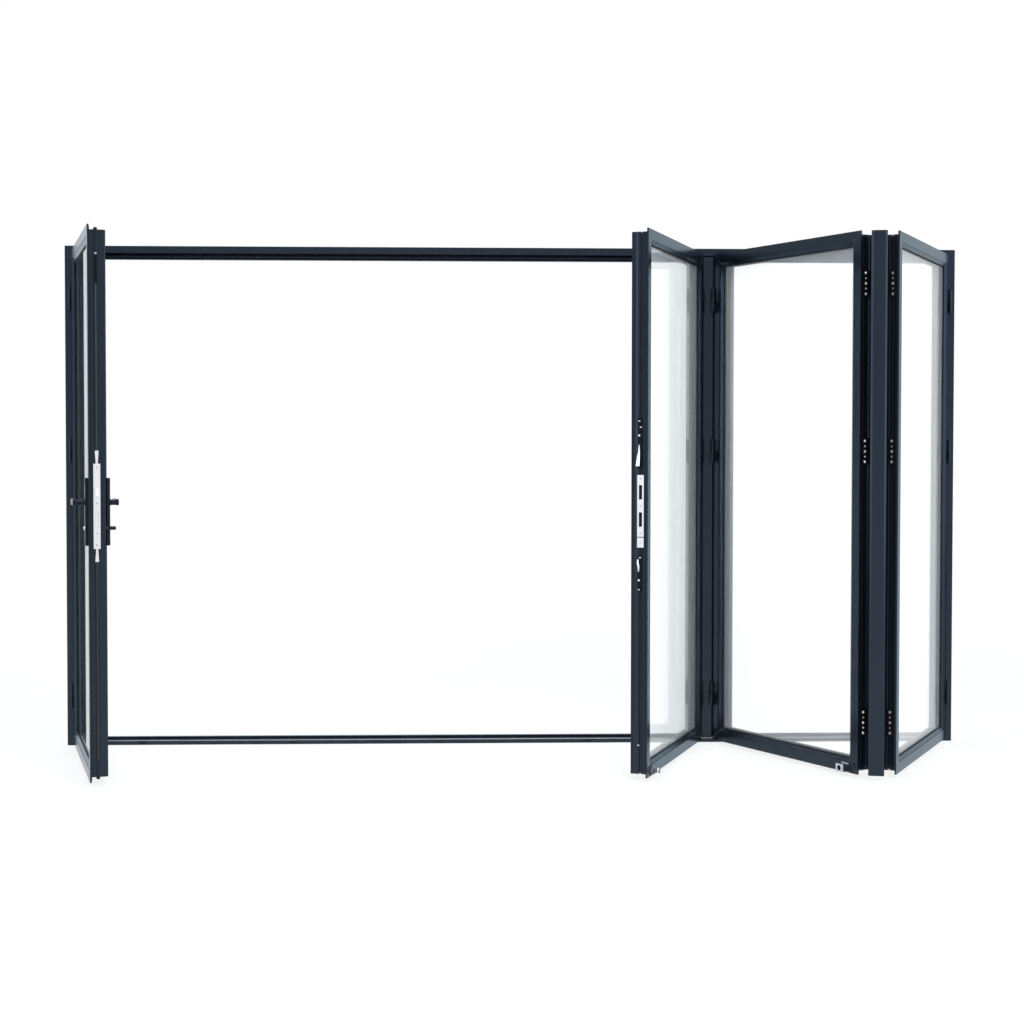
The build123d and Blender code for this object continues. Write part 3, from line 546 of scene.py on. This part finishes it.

# %% [markdown]
# Black rubber holds each sealed unit: one bead of it outside, one inside. Between the two panes
# runs the dark spacer bar that keeps them apart. A third seal lies behind each leaf's outer
# flange, where it meets the frame. All follow the leaf's rectangle at their own distance from
# its edge, so each is one loop, copied to the leaves.

# %% Seals and spacer bars of the leaves
# the seals' second colour is their painted reflection of the pale ground
rubber = coated_finish("seal_rubber", (0.004, 0.0055, 0.0085), (0.02, 0.026, 0.034),
                       0.2, 0.6, 1.3, SKY_TINT)
spacer_black = coated_finish("spacer_black", (0.01, 0.01, 0.011), GREY_GROUND_REFLECTION, 0.05, 0.45, 1.4)
BEAD_INSET, BEAD_DEPTHS = 0.0535, (0.0128, 0.0432)
SPACER_INSET = 0.055
FLANGE_SEAL_INSET, FLANGE_SEAL_DEPTH = 0.0075, 0.0069
GROUPS = (("door", "door_", ("door",)), ("frame", "folding_", ("leaf2", "leaf3", "leaf4")))


def at_depth(depth):
    """Stands a flat path upright in a leaf, so deep behind its outer face."""
    return Matrix.Translation((0, depth, 0)) @ UPRIGHT


def show_on_leaves(name, source, slot, *spots):
    """One piece for the swinging door and one for the folding leaves, at the same spots of each."""
    for body, title, leaves in GROUPS:
        places = [leaf_place(leaf) @ spot for leaf in leaves for spot in spots]
        show(title + name, source, places, body)


bead = grown(strip_tree, leaf_loop(BEAD_INSET), Across=0.0045, Thick=0.003, Round=0.0012,
             Corner=0.003, Finish=rubber)
show_on_leaves("glazing_seals", bead, "guide_plastic", *(at_depth(depth) for depth in BEAD_DEPTHS))
spacer = grown(strip_tree, leaf_loop(SPACER_INSET), Across=0.0095, Thick=0.0156, Round=0.001,
               Corner=0.006, Finish=spacer_black)
show_on_leaves("spacer_bars", spacer, "guide_plastic", at_depth(GLASS_DEPTH))
flange_seal = grown(strip_tree, leaf_loop(FLANGE_SEAL_INSET), Across=0.004, Thick=0.002,
                    Round=0.0009, Corner=0.003, Finish=rubber)
show_on_leaves("flange_seals", flange_seal, "guide_plastic", at_depth(FLANGE_SEAL_DEPTH))
print("glazing seal", len(bead.polygons), "spacer", len(spacer.polygons), "faces a leaf")

# %% [markdown]
# The frame has a seal too, along the stop that the leaves close against. It runs up one jamb,
# across under the head and down the other. Two low ribs on the sill guide the roller between
# them. A narrow pale metal strip along the sill's front corner is a painted highlight: the light
# that this corner catches from above.

# %% Seal and track ribs of the frame
STOP_FACE_Y, STOP_SEAL_PROUD = 0.019, 0.0014
STOP_SEAL_X, STOP_SEAL_LOW, STOP_SEAL_HIGH = 1.7565, 0.03, 1.9665
RIB_HALF, RIB_YS, RIB_Z = 1.75, (-0.0145, 0.0035), 0.009
GLINT_HALF, GLINT_Y, GLINT_Z = 1.765, -0.0381, 0.0171

stop_path = flat_path([(-STOP_SEAL_X, STOP_SEAL_LOW), (-STOP_SEAL_X, STOP_SEAL_HIGH),
                       (STOP_SEAL_X, STOP_SEAL_HIGH), (STOP_SEAL_X, STOP_SEAL_LOW)])
stop_seal = grown(strip_tree, stop_path, Across=0.006, Thick=0.003, Round=0.0014,
                  Corner=0.005, Finish=rubber)
show("stop_seal", stop_seal, [at_depth(STOP_FACE_Y - STOP_SEAL_PROUD)], "frame")

mill_metal = bare_metal("mill_aluminium", (0.55, 0.57, 0.6), 0.35)
rib = grown(strip_tree, flat_path([(-RIB_HALF, 0), (RIB_HALF, 0)]), Across=0.003, Thick=0.002,
            Round=0.0008, Corner=0.0, Finish=mill_metal)
rib_places = [Matrix.Translation((0, y, RIB_Z)) for y in RIB_YS]
show("track_ribs", rib, rib_places, "frame")

# painted highlight: a pale metal strip where the sill's front corner catches the light
glint_metal = bare_metal("sill_glint_paint", (0.3, 0.33, 0.37), 0.4)
glint_strip = grown(strip_tree, flat_path([(-GLINT_HALF, 0), (GLINT_HALF, 0)]), Across=0.003,
                   Thick=0.0005, Round=0.0001, Corner=0.0, Finish=glint_metal)
on_chamfer = Matrix.Translation((0, GLINT_Y, GLINT_Z)) @ Matrix.Rotation(radians(45), 4, "X")
show("sill_glint_strip", glint_strip, [on_chamfer], "frame")
print("stop seal", len(stop_seal.polygons), "faces,", len(rib_places), "ribs and a worn strip")

# %% [markdown]
# Screws hold every plate. A real countersunk head has a flat face, a bevelled rim and a cross
# in it, so the tree makes a low cone, cuts a cross out of it, and repeats it along a row. On
# the hinge plates every second screw is smaller, which is one more input.

# %% A tree that makes a row of cross-head screws
HEAD_SIDES, HEAD_HEIGHT = 18, 0.0016
FACE_SHARE = 0.72                   # the flat face, as a share of the head's radius
ARM_LONG, ARM_WIDE = 1.0, 0.24      # the cross, as shares of the head's radius

screw_tree, given, made = new_tree("screw_row", {
    "Count": "Int", "Pitch": "Float", "Radius": "Float", "Height": "Float", "Second": "Float",
    "Finish": "Material"})
head = screw_tree.nodes.new("GeometryNodeMeshCone")
head.inputs["Vertices"].default_value = HEAD_SIDES
screw_tree.links.new(given["Radius"], head.inputs["Radius Bottom"])
face_radius = sum_of(screw_tree, "MULTIPLY", given["Radius"], FACE_SHARE)
screw_tree.links.new(face_radius, head.inputs["Radius Top"])
screw_tree.links.new(given["Height"], head.inputs["Depth"])


def cross_arm(long_x, long_y):
    """One bar of the cross, sunk half into the head's face."""
    size = screw_tree.nodes.new("ShaderNodeCombineXYZ")
    for side, share in (("X", long_x), ("Y", long_y)):
        length = sum_of(screw_tree, "MULTIPLY", given["Radius"], share)
        screw_tree.links.new(length, size.inputs[side])
    screw_tree.links.new(given["Height"], size.inputs["Z"])
    bar = screw_tree.nodes.new("GeometryNodeMeshCube")
    screw_tree.links.new(size.outputs[0], bar.inputs["Size"])
    lift = screw_tree.nodes.new("ShaderNodeCombineXYZ")
    screw_tree.links.new(given["Height"], lift.inputs["Z"])
    raised = screw_tree.nodes.new("GeometryNodeTransform")
    screw_tree.links.new(bar.outputs[0], raised.inputs["Geometry"])
    screw_tree.links.new(lift.outputs[0], raised.inputs["Translation"])
    return raised.outputs[0]


crossed = screw_tree.nodes.new("GeometryNodeMeshBoolean")
crossed.operation = "DIFFERENCE"
crossed.solver = "EXACT"
screw_tree.links.new(head.outputs["Mesh"], crossed.inputs["Mesh 1"])
screw_tree.links.new(cross_arm(ARM_LONG, ARM_WIDE), crossed.inputs["Mesh 2"])
screw_tree.links.new(cross_arm(ARM_WIDE, ARM_LONG), crossed.inputs["Mesh 2"])
step = screw_tree.nodes.new("ShaderNodeCombineXYZ")
screw_tree.links.new(given["Pitch"], step.inputs["X"])
row = screw_tree.nodes.new("GeometryNodeMeshLine")
screw_tree.links.new(given["Count"], row.inputs["Count"])
screw_tree.links.new(step.outputs[0], row.inputs["Offset"])
index = screw_tree.nodes.new("GeometryNodeInputIndex").outputs[0]
every_second = sum_of(screw_tree, "MODULO", index, 2)
less = sum_of(screw_tree, "SUBTRACT", given["Second"], 1)
shrink = sum_of(screw_tree, "MULTIPLY", every_second, less)
screws = screw_tree.nodes.new("GeometryNodeInstanceOnPoints")
screw_tree.links.new(row.outputs[0], screws.inputs["Points"])
screw_tree.links.new(crossed.outputs["Mesh"], screws.inputs["Instance"])
screw_tree.links.new(sum_of(screw_tree, "ADD", shrink, 1), screws.inputs["Scale"])
finish_tree(screw_tree, screws.outputs[0], given["Finish"], made["Mesh"])

zinc = bare_metal("bright_zinc", (0.9, 0.91, 0.92), 0.33)


def screw_row(radius, count=1, pitch=0.0, second=1.0, finish=zinc):
    """A row of screws along x that look up; every second one may be smaller."""
    empty = bpy.data.meshes.new("start")
    return grown(screw_tree, empty, Count=count, Pitch=pitch, Radius=radius, Height=HEAD_HEIGHT,
                 Second=second, Finish=finish)


trial = screw_row(0.0048, 5, 0.019, 0.6)
print("a row of five screws spans", spans(trial), "with", len(trial.polygons), "faces")

# %% [markdown]
# Rows are placed by two directions: where the row runs, and where the heads look. The hinge
# plates on the edges of leaves 3 and 4 are the ones that show most, with three large and two
# small bright screws. The lock plate and the keeps have a few small ones, and the painted jamb
# hinges have painted screws.

# %% Screws on hinges, lock plates and handles
HINGES = (0.2, 1.19, 1.799)         # heights above the floor, as all heights of screws here
HINGE_PITCH, HINGE_ROW = 0.019, 5
LEAF3_ROW_DEPTH, LEAF4_ROW_DEPTH = 0.034, 0.027
EDGE_PLATE = 0.0085                 # how far in from a leaf's edge its plates lie
GROOVE_DEPTH = 0.03                 # the middle of the groove in a leaf's edge
LOCK_SCREWS, KEEP_SCREWS = (0.857, 0.899, 1.004, 1.133), (0.862, 0.896, 0.994, 1.092)
HANDLE_X, HANDLE_PLATE, HANDLE_SCREWS = 0.843, 0.011, (0.868, 1.081)
FACE_PITCH, FACE_INSET = 0.03, 0.012
CATCH_X, CATCH_Z, CATCH_FACE, CATCH_SPREAD = 0.062, 0.019, -0.004, (-0.017, 0.017)
UP, DOWN, RIGHT, LEFT = (0, 0, 1), (0, 0, -1), (1, 0, 0), (-1, 0, 0)
OUT, INDOORS = (0, -1, 0), (0, 1, 0)


def facing(place, along, out):
    """A place whose X runs along a row and whose Z points out of the surface."""
    along, out = Vector(along), Vector(out)
    axes = Matrix((along, out.cross(along), out)).transposed()
    return Matrix.Translation(place) @ axes.to_4x4()


def height(above_floor):
    """A height above the floor, on a leaf's own drawing."""
    return above_floor - LEAF_BOTTOM


hinge_screws = screw_row(0.0052, HINGE_ROW, HINGE_PITCH, 0.62)
places = []
for leaf, x, depth, out in (("leaf3", LEAF_WIDTH - EDGE_PLATE, LEAF3_ROW_DEPTH, RIGHT),
                            ("leaf4", EDGE_PLATE, LEAF4_ROW_DEPTH, LEFT)):
    places += [leaf_place(leaf) @ facing((x, depth, height(z) - 2 * HINGE_PITCH), UP, out)
               for z in HINGES]
show("edge_hinge_screws", hinge_screws, places, "frame")

plate_zinc = bare_metal("plate_zinc", (0.5, 0.52, 0.55), 0.35)
small_screw = screw_row(0.0036, finish=plate_zinc)
spots = [facing((LEAF_WIDTH - EDGE_PLATE, GROOVE_DEPTH, height(z)), UP, RIGHT) for z in LOCK_SCREWS]
show_on_leaf("lock_screws", small_screw, "door", spots)
spots = [facing((EDGE_PLATE, GROOVE_DEPTH, height(z)), UP, LEFT) for z in KEEP_SCREWS]
show_on_leaf("keep_screws", small_screw, "leaf2", spots)

black_screw = screw_row(0.0035, finish=finishes["handle_black"])
spots = [facing((HANDLE_X, depth, height(z)), UP, out)
         for depth, out in ((-HANDLE_PLATE, OUT), (LEAF_DEPTH + HANDLE_PLATE, INDOORS))
         for z in HANDLE_SCREWS]
show_on_leaf("handle_plate_screws", black_screw, "door", spots)

paint_screws = screw_row(0.003, 3, FACE_PITCH, finish=finishes["coated_aluminium"])
for body, title, leaves in GROUPS:
    places = []
    for leaf in leaves:
        x = abs(LEAVES[leaf][2] - FACE_INSET)
        places += [leaf_place(leaf) @ facing((x, 0, height(z) - FACE_PITCH), UP, OUT)
                   for z in HINGES]
    show(title + "face_hinge_screws", paint_screws, places, body)

spots = [facing((CATCH_X + side, CATCH_FACE, CATCH_Z), UP, OUT) for side in CATCH_SPREAD]
show_on_leaf("catch_screws", small_screw, "leaf2", spots)
print("screws on", len(HINGES), "hinge heights, the lock, the keeps, the handles and the catch")

# %% [markdown]
# The lock drives flat rods that slide in the groove of the door's edge, up and down to the
# corners, where nylon guides fill the groove. The rods are the strip tree again; the guides and
# other small blocks are bevelled boxes, because a box with sharp edges never catches the light
# as a real one does.

# %% Rods and guides on the swinging door
ROD_LOW, ROD_HIGH, ROD_SUNK = 0.09, 0.797, 0.0142
UPPER_ROD_LIFT = 1.094
GUIDE_NEAR, GUIDE_FAR = LEAF_WIDTH - 0.075, LEAF_WIDTH - 0.019
GUIDE_FRONT, GUIDE_BACK = 0.0245, 0.0355
GUIDE_LOW, GUIDE_HIGH = 0.0085, 0.0172

rod_grey = bare_metal("rod_zinc", (0.06, 0.067, 0.075), 0.45)
rod = grown(strip_tree, flat_path([(0, ROD_LOW), (0, ROD_HIGH)]), Across=0.0024, Thick=0.0052,
            Round=0.0006, Corner=0.0, Finish=rod_grey)
lower_rod = Matrix.Translation((LEAF_WIDTH - ROD_SUNK, GROOVE_DEPTH, -LEAF_BOTTOM)) @ UPRIGHT
upper_rod = lower_rod @ Matrix.Translation((0, UPPER_ROD_LIFT, 0))
show_on_leaf("drive_rods", rod, "door", [lower_rod, upper_rod])


def block(low, high, bevel, finish):
    """A box between two corners with bevelled edges."""
    whole = bmesh.new()
    bmesh.ops.create_cube(whole, size=1.0)
    size = [b - a for a, b in zip(low, high)]
    middle = [(a + b) / 2 for a, b in zip(low, high)]
    bmesh.ops.scale(whole, vec=size, verts=whole.verts)
    bmesh.ops.translate(whole, vec=middle, verts=whole.verts)
    bmesh.ops.bevel(whole, geom=whole.edges[:], offset=bevel, segments=2, affect="EDGES",
                    profile=0.5)
    mesh = bpy.data.meshes.new("block")
    whole.to_mesh(mesh)
    whole.free()
    mesh.materials.append(finish)
    return mesh


guide_heights = ((GUIDE_LOW, GUIDE_HIGH), (LEAF_HEIGHT - GUIDE_HIGH, LEAF_HEIGHT - GUIDE_LOW))
guides = united("rod_guides", [
    block((GUIDE_NEAR, GUIDE_FRONT, low), (GUIDE_FAR, GUIDE_BACK, high), 0.001, nylon)
    for low, high in guide_heights])
show_on_leaf("rod_guides", guides, "door", [AS_DRAWN])
print("two rods and two guides of", len(guides.polygons), "faces")

# %% [markdown]
# Small caps repeat too: drain hoods along the sill's front, and round caps over the frame's
# fixing screws. A rounded rectangle pushed through its thickness gives both, since a rectangle
# with corners as round as half its height is a disc. The tree sweeps it along a short line,
# which closes both ends.

# %% A tree that makes a row of rounded caps
CAP_CORNER_STEPS = 6
NEARLY_HALF = 0.499                 # a rounder corner would leave a side without length

cap_tree, given, made = new_tree("cap_row", {
    "Count": "Int", "Pitch": "Float", "Long": "Float", "Tall": "Float", "Thick": "Float",
    "Round": "Float", "Finish": "Material"})
outline = cap_tree.nodes.new("GeometryNodeCurvePrimitiveQuadrilateral")
cap_tree.links.new(given["Long"], outline.inputs["Width"])
cap_tree.links.new(given["Tall"], outline.inputs["Height"])
rise = cap_tree.nodes.new("ShaderNodeCombineXYZ")
cap_tree.links.new(given["Thick"], rise.inputs["Z"])
through = cap_tree.nodes.new("GeometryNodeCurvePrimitiveLine")
cap_tree.links.new(rise.outputs[0], through.inputs["End"])
push = cap_tree.nodes.new("GeometryNodeCurveToMesh")
push.inputs["Fill Caps"].default_value = True
cap_tree.links.new(through.outputs[0], push.inputs["Curve"])
smooth_outline = rounded(cap_tree, outline.outputs[0], given["Round"], CAP_CORNER_STEPS)
cap_tree.links.new(smooth_outline, push.inputs["Profile Curve"])
step = cap_tree.nodes.new("ShaderNodeCombineXYZ")
cap_tree.links.new(given["Pitch"], step.inputs["X"])
row = cap_tree.nodes.new("GeometryNodeMeshLine")
cap_tree.links.new(given["Count"], row.inputs["Count"])
cap_tree.links.new(step.outputs[0], row.inputs["Offset"])
caps = cap_tree.nodes.new("GeometryNodeInstanceOnPoints")
cap_tree.links.new(row.outputs[0], caps.inputs["Points"])
cap_tree.links.new(push.outputs[0], caps.inputs["Instance"])
finish_tree(cap_tree, caps.outputs[0], given["Finish"], made["Mesh"])


def cap_row(long, tall, thick, finish, corner=None, count=1, pitch=0.0):
    """A row of caps along x that look up, with ends as round as they can be unless told."""
    empty = bpy.data.meshes.new("start")
    if corner is None:
        corner = min(long, tall) * NEARLY_HALF
    return grown(cap_tree, empty, Count=count, Pitch=pitch, Long=long, Tall=tall, Thick=thick,
                 Round=corner, Finish=finish)


def disc(radius, thick, finish):
    """A round cap."""
    return cap_row(2 * radius, 2 * radius, thick, finish)


trial = cap_row(0.03, 0.006, 0.002, nylon)
print("a trial cap spans", spans(trial), "with", len(trial.polygons), "faces")

# %% [markdown]
# The sill lets rain out through slots under small hoods in its front face. Fixing screws go
# through the bottom of the rebate into the wall, and each has a round cap. The roller under the
# track post turns on a pin, whose ends show on its sides.

# %% Caps on the frame
FRONT_Y, TRACK_Y = -0.04, -0.0055
ROW_START, ROW_PITCH, ROW_COUNT = -1.5, 0.6, 6
HOOD_Z = 0.0085
REBATE_X, REBATE_Z = 1.786, 1.996
CAP_WIDE, CAP_THICK = 0.014, 0.001
JAMB_ROW_START, JAMB_PITCH, JAMB_COUNT = 0.25, 0.5, 4
ROLLER_X, ROLLER_Z, ROLLER_HALF = 0.790666, 0.016, 0.005

hoods = cap_row(0.032, 0.006, 0.0016, nylon, count=ROW_COUNT, pitch=ROW_PITCH)
hood_place = facing((ROW_START, FRONT_Y, HOOD_Z), RIGHT, OUT)
show("drain_hoods", hoods, [hood_place], "frame")

jamb_caps = cap_row(CAP_WIDE, CAP_WIDE, CAP_THICK, nylon, count=JAMB_COUNT, pitch=JAMB_PITCH)
places = [facing((-REBATE_X, TRACK_Y, JAMB_ROW_START), UP, RIGHT),
          facing((REBATE_X, TRACK_Y, JAMB_ROW_START), UP, LEFT)]
show("jamb_fixing_caps", jamb_caps, places, "frame")
head_caps = cap_row(CAP_WIDE, CAP_WIDE, CAP_THICK, nylon, count=ROW_COUNT, pitch=ROW_PITCH)
head_place = facing((ROW_START, TRACK_Y, REBATE_Z), RIGHT, DOWN)
show("head_fixing_caps", head_caps, [head_place], "frame")

axle_end = disc(0.003, 0.0008, zinc)
places = [facing((ROLLER_X, TRACK_Y - ROLLER_HALF, ROLLER_Z), UP, OUT),
          facing((ROLLER_X, TRACK_Y + ROLLER_HALF, ROLLER_Z), UP, INDOORS)]
show("roller_axle", axle_end, places, "frame")
print(ROW_COUNT, "hoods,", ROW_COUNT + 2 * JAMB_COUNT, "caps and two axle ends on the frame")

# %% [markdown]
# Leaf 2 is held shut by two flush bolts in its near edge. Each has a dark case with bright
# screws. The upper one has its steel lever flipped out and hanging down; the lower one is
# folded away, so only the bent end of its lever shows. A lever is a thin blade that widens,
# made of a few rings of four points.

# %% Flush bolts on the edge of leaf 2
BLADE_BEVEL = 0.0005
CASE_FACE, CASE_BACK = 0.0092, 0.0122
CASE_NEAR, CASE_FAR = 0.0245, 0.0405
CASE_HEIGHTS = ((1.128, 1.31), (0.685, 0.815))
BOLT_SCREWS = ((0.0355, 1.247), (0.0355, 0.726))
BOLT_TIPS = ((0.035, 1.299), (0.0295, 1.277), (0.031, 0.808), (0.0355, 0.692), (0.0355, 0.13))
UPPER_LEVER = ((0.0068, 0.0355, 1.214, 0.003), (0.002, 0.0345, 1.188, 0.006),
               (-0.006, 0.0345, 1.17, 0.010), (-0.014, 0.0355, 1.137, 0.014))
LOWER_LEVER = ((0.0066, 0.0385, 0.802, 0.004), (0.0045, 0.039, 0.79, 0.007),
               (0.0045, 0.036, 0.776, 0.007), (0.0066, 0.0365, 0.757, 0.004))


def blade(stations, thick, finish):
    """A blade through stations of (x, depth, height, width), closed at both ends."""
    whole = bmesh.new()
    rings = []
    for x, depth, z, width in stations:
        corners = ((x, depth - width / 2), (x, depth + width / 2),
                   (x + thick, depth + width / 2), (x + thick, depth - width / 2))
        rings.append([whole.verts.new((cx, cy, height(z))) for cx, cy in corners])
    for first, second in zip(rings, rings[1:]):
        for i in range(4):
            j = (i + 1) % 4
            whole.faces.new((first[i], first[j], second[j], second[i]))
    whole.faces.new(rings[0])
    whole.faces.new(reversed(rings[-1]))
    bmesh.ops.recalc_face_normals(whole, faces=whole.faces[:])
    bmesh.ops.bevel(whole, geom=whole.edges[:], offset=BLADE_BEVEL, segments=1, affect="EDGES")
    mesh = bpy.data.meshes.new("blade")
    whole.to_mesh(mesh)
    whole.free()
    mesh.materials.append(finish)
    return mesh


lever_steel = bare_metal("lever_steel", (0.85, 0.86, 0.88), 0.3)
levers = united("flush_bolt_levers", [blade(UPPER_LEVER, 0.003, lever_steel),
                                      blade(LOWER_LEVER, 0.002, lever_steel)])
show_on_leaf("flush_bolt_levers", levers, "leaf2", [AS_DRAWN])
case_black = finishes["hinge_black"]
cases = united("flush_bolt_cases", [
    block((CASE_FACE, CASE_NEAR, height(low)), (CASE_BACK, CASE_FAR, height(high)),
          0.0006, case_black)
    for low, high in CASE_HEIGHTS])
show_on_leaf("flush_bolt_cases", cases, "leaf2", [AS_DRAWN])
bolt_screw = screw_row(0.0046)
spots = [facing((CASE_FACE, depth, height(z)), UP, LEFT) for depth, z in BOLT_SCREWS]
show_on_leaf("flush_bolt_screws", bolt_screw, "leaf2", spots)
bolt_tip = cap_row(0.0028, 0.008, 0.0012, lever_steel)
spots = [facing((CASE_FACE, depth, height(z)), UP, LEFT) for depth, z in BOLT_TIPS]
show_on_leaf("flush_bolt_tips", bolt_tip, "leaf2", spots)
print("flush bolts:", len(levers.polygons), "lever faces and", len(spots), "tips")

# %% [markdown]
# Close to its top, the swinging door's edge has a bolt slot, with a bright stop above it; a
# black block in the slot is painted shade. The lock cylinder shows its key plug with a black
# keyhole, which is painted shade too, and each lever turns in a black ring.

# %% Bolt slot, key plug and lever rings
SLOT_FACE, SLOT_BACK = LEAF_WIDTH - 0.0102, LEAF_WIDTH - 0.0122
SLOT_LOW, SLOT_HIGH = 1.782, 1.88
STOP_X, STOP_Z = LEAF_WIDTH - 0.0115, 1.887
PLUG_FACE, PLUG_Z = -0.014, 0.916
RING_OUT, SPINDLE_Z = 0.0118, 1.008
ROUND_STEPS = 40

# painted shade: a black block stands for the shade inside the bolt slot
slot_shade = block((SLOT_BACK, GUIDE_FRONT, height(SLOT_LOW)),
                   (SLOT_FACE, GUIDE_BACK, height(SLOT_HIGH)), 0.0006, case_black)
show_on_leaf("bolt_slot_shade", slot_shade, "door", [AS_DRAWN])
bolt_stop = cap_row(0.009, 0.0035, 0.0012, plate_zinc, corner=0.001)
stop_spot = facing((STOP_X, GROOVE_DEPTH, height(STOP_Z)), INDOORS, RIGHT)
show_on_leaf("bolt_stop", bolt_stop, "door", [stop_spot])

plug_spot = facing((HANDLE_X, PLUG_FACE, height(PLUG_Z)), UP, OUT)
show_on_leaf("key_plug", disc(0.0056, 0.0008, zinc), "door", [plug_spot])
# painted shade: a black slot on the plug stands for the shade in the keyhole
keyhole_shade = cap_row(0.0068, 0.0014, 0.0010, case_black, corner=0.0005)
show_on_leaf("keyhole_shade", keyhole_shade, "door", [plug_spot])


def ring(radius, across, thick, finish):
    """A flat ring round the origin."""
    turns = [Matrix.Rotation(radians(360 * i / ROUND_STEPS), 3, "Z") for i in range(ROUND_STEPS)]
    points = [turn @ Vector((radius, 0, 0)) for turn in turns]
    path = flat_path([(point.x, point.y) for point in points], closed=True)
    return grown(strip_tree, path, Across=across, Thick=thick, Round=min(across, thick) * 0.4,
                 Corner=0.0, Finish=finish)


lever_ring = ring(0.0123, 0.0026, 0.003, finishes["handle_black"])
spots = [facing((HANDLE_X, -RING_OUT, height(SPINDLE_Z)), UP, OUT),
         facing((HANDLE_X, LEAF_DEPTH + RING_OUT, height(SPINDLE_Z)), UP, INDOORS)]
show_on_leaf("lever_rings", lever_ring, "door", spots)
print("bolt slot, plug and", len(spots), "rings")

# %% [markdown]
# The catch that holds the folded leaves has a bright ring and end on its stud, and the chrome
# keeper on the next leaf is dark inside: a near-black ring and disc in its bore are painted shade.

# %% Catch and keeper
STUD_FACE, STUD_RING_BACK = -0.034, -0.008
KEEPER_FLOOR, BORE_SHADE_SUNK = -0.018, -0.0005

stud_ring = ring(0.0092, 0.0012, 0.005, lever_steel)
stud_ring.transform(Matrix.Translation((0, 0, STUD_RING_BACK)))
stud_end = united("stud_end", [stud_ring, disc(0.0072, 0.0008, lever_steel)])
stud_spot = facing((CATCH_X, STUD_FACE, CATCH_Z), UP, OUT)
show_on_leaf("stud_end", stud_end, "leaf2", [stud_spot])

# painted shade: a near-black ring and disc line the keeper's bore
bore_shade = united("keeper_bore_shade", [ring(0.0086, 0.0012, 0.024, rubber), disc(0.0088, 0.001, rubber)])
bore_shade.transform(Matrix.Translation((0, 0, BORE_SHADE_SUNK)))
bore_shade_spot = facing((LEAF_WIDTH - CATCH_X, KEEPER_FLOOR, CATCH_Z), UP, OUT)
show_on_leaf("keeper_bore_shade", bore_shade, "leaf3", [bore_shade_spot])
print("stud end", len(stud_end.polygons), "bore_shade", len(bore_shade.polygons), "faces")

# %% [markdown]
# The bars of a leaf meet in mitres, and the saw cut shows as a hairline of bare metal from the
# corner of the flange to the corner of the glass. It follows the faces that it crosses, so it
# is a path again: flat over the flange, then down the slope of the outer bead, and the same on
# the indoor side.

# %% Mitre lines at the leaves' corners
cut_metal = bare_metal("cut_edge", (0.2, 0.22, 0.25), 0.4)
OUTER_CUT = ((0.0006, 0.0001), (0.0372, 0.0001), (0.0396, -0.0009), (0.0518, -0.0087))
INNER_CUT = ((0.0175, -0.0651), (0.0478, -0.0651), (0.0516, -0.0615))
points, edges = [], []
for cut in (OUTER_CUT, INNER_CUT):
    for at_right in (False, True):
        for at_top in (False, True):
            start = len(points)
            for inset, lift in cut:
                points.append((LEAF_WIDTH - inset if at_right else inset,
                               LEAF_HEIGHT - inset if at_top else inset, lift))
            edges += [(start + i, start + i + 1) for i in range(len(cut) - 1)]
cuts = bpy.data.meshes.new("cuts")
cuts.from_pydata(points, edges, [])
cut_lines = grown(strip_tree, cuts, Across=0.0005, Thick=0.0003, Round=0.0001,
                  Corner=0.0, Finish=cut_metal)
show_on_leaves("mitre_lines", cut_lines, "coated_aluminium", UPRIGHT)
print(len(edges), "cut edges,", len(cut_lines.polygons), "faces a leaf")
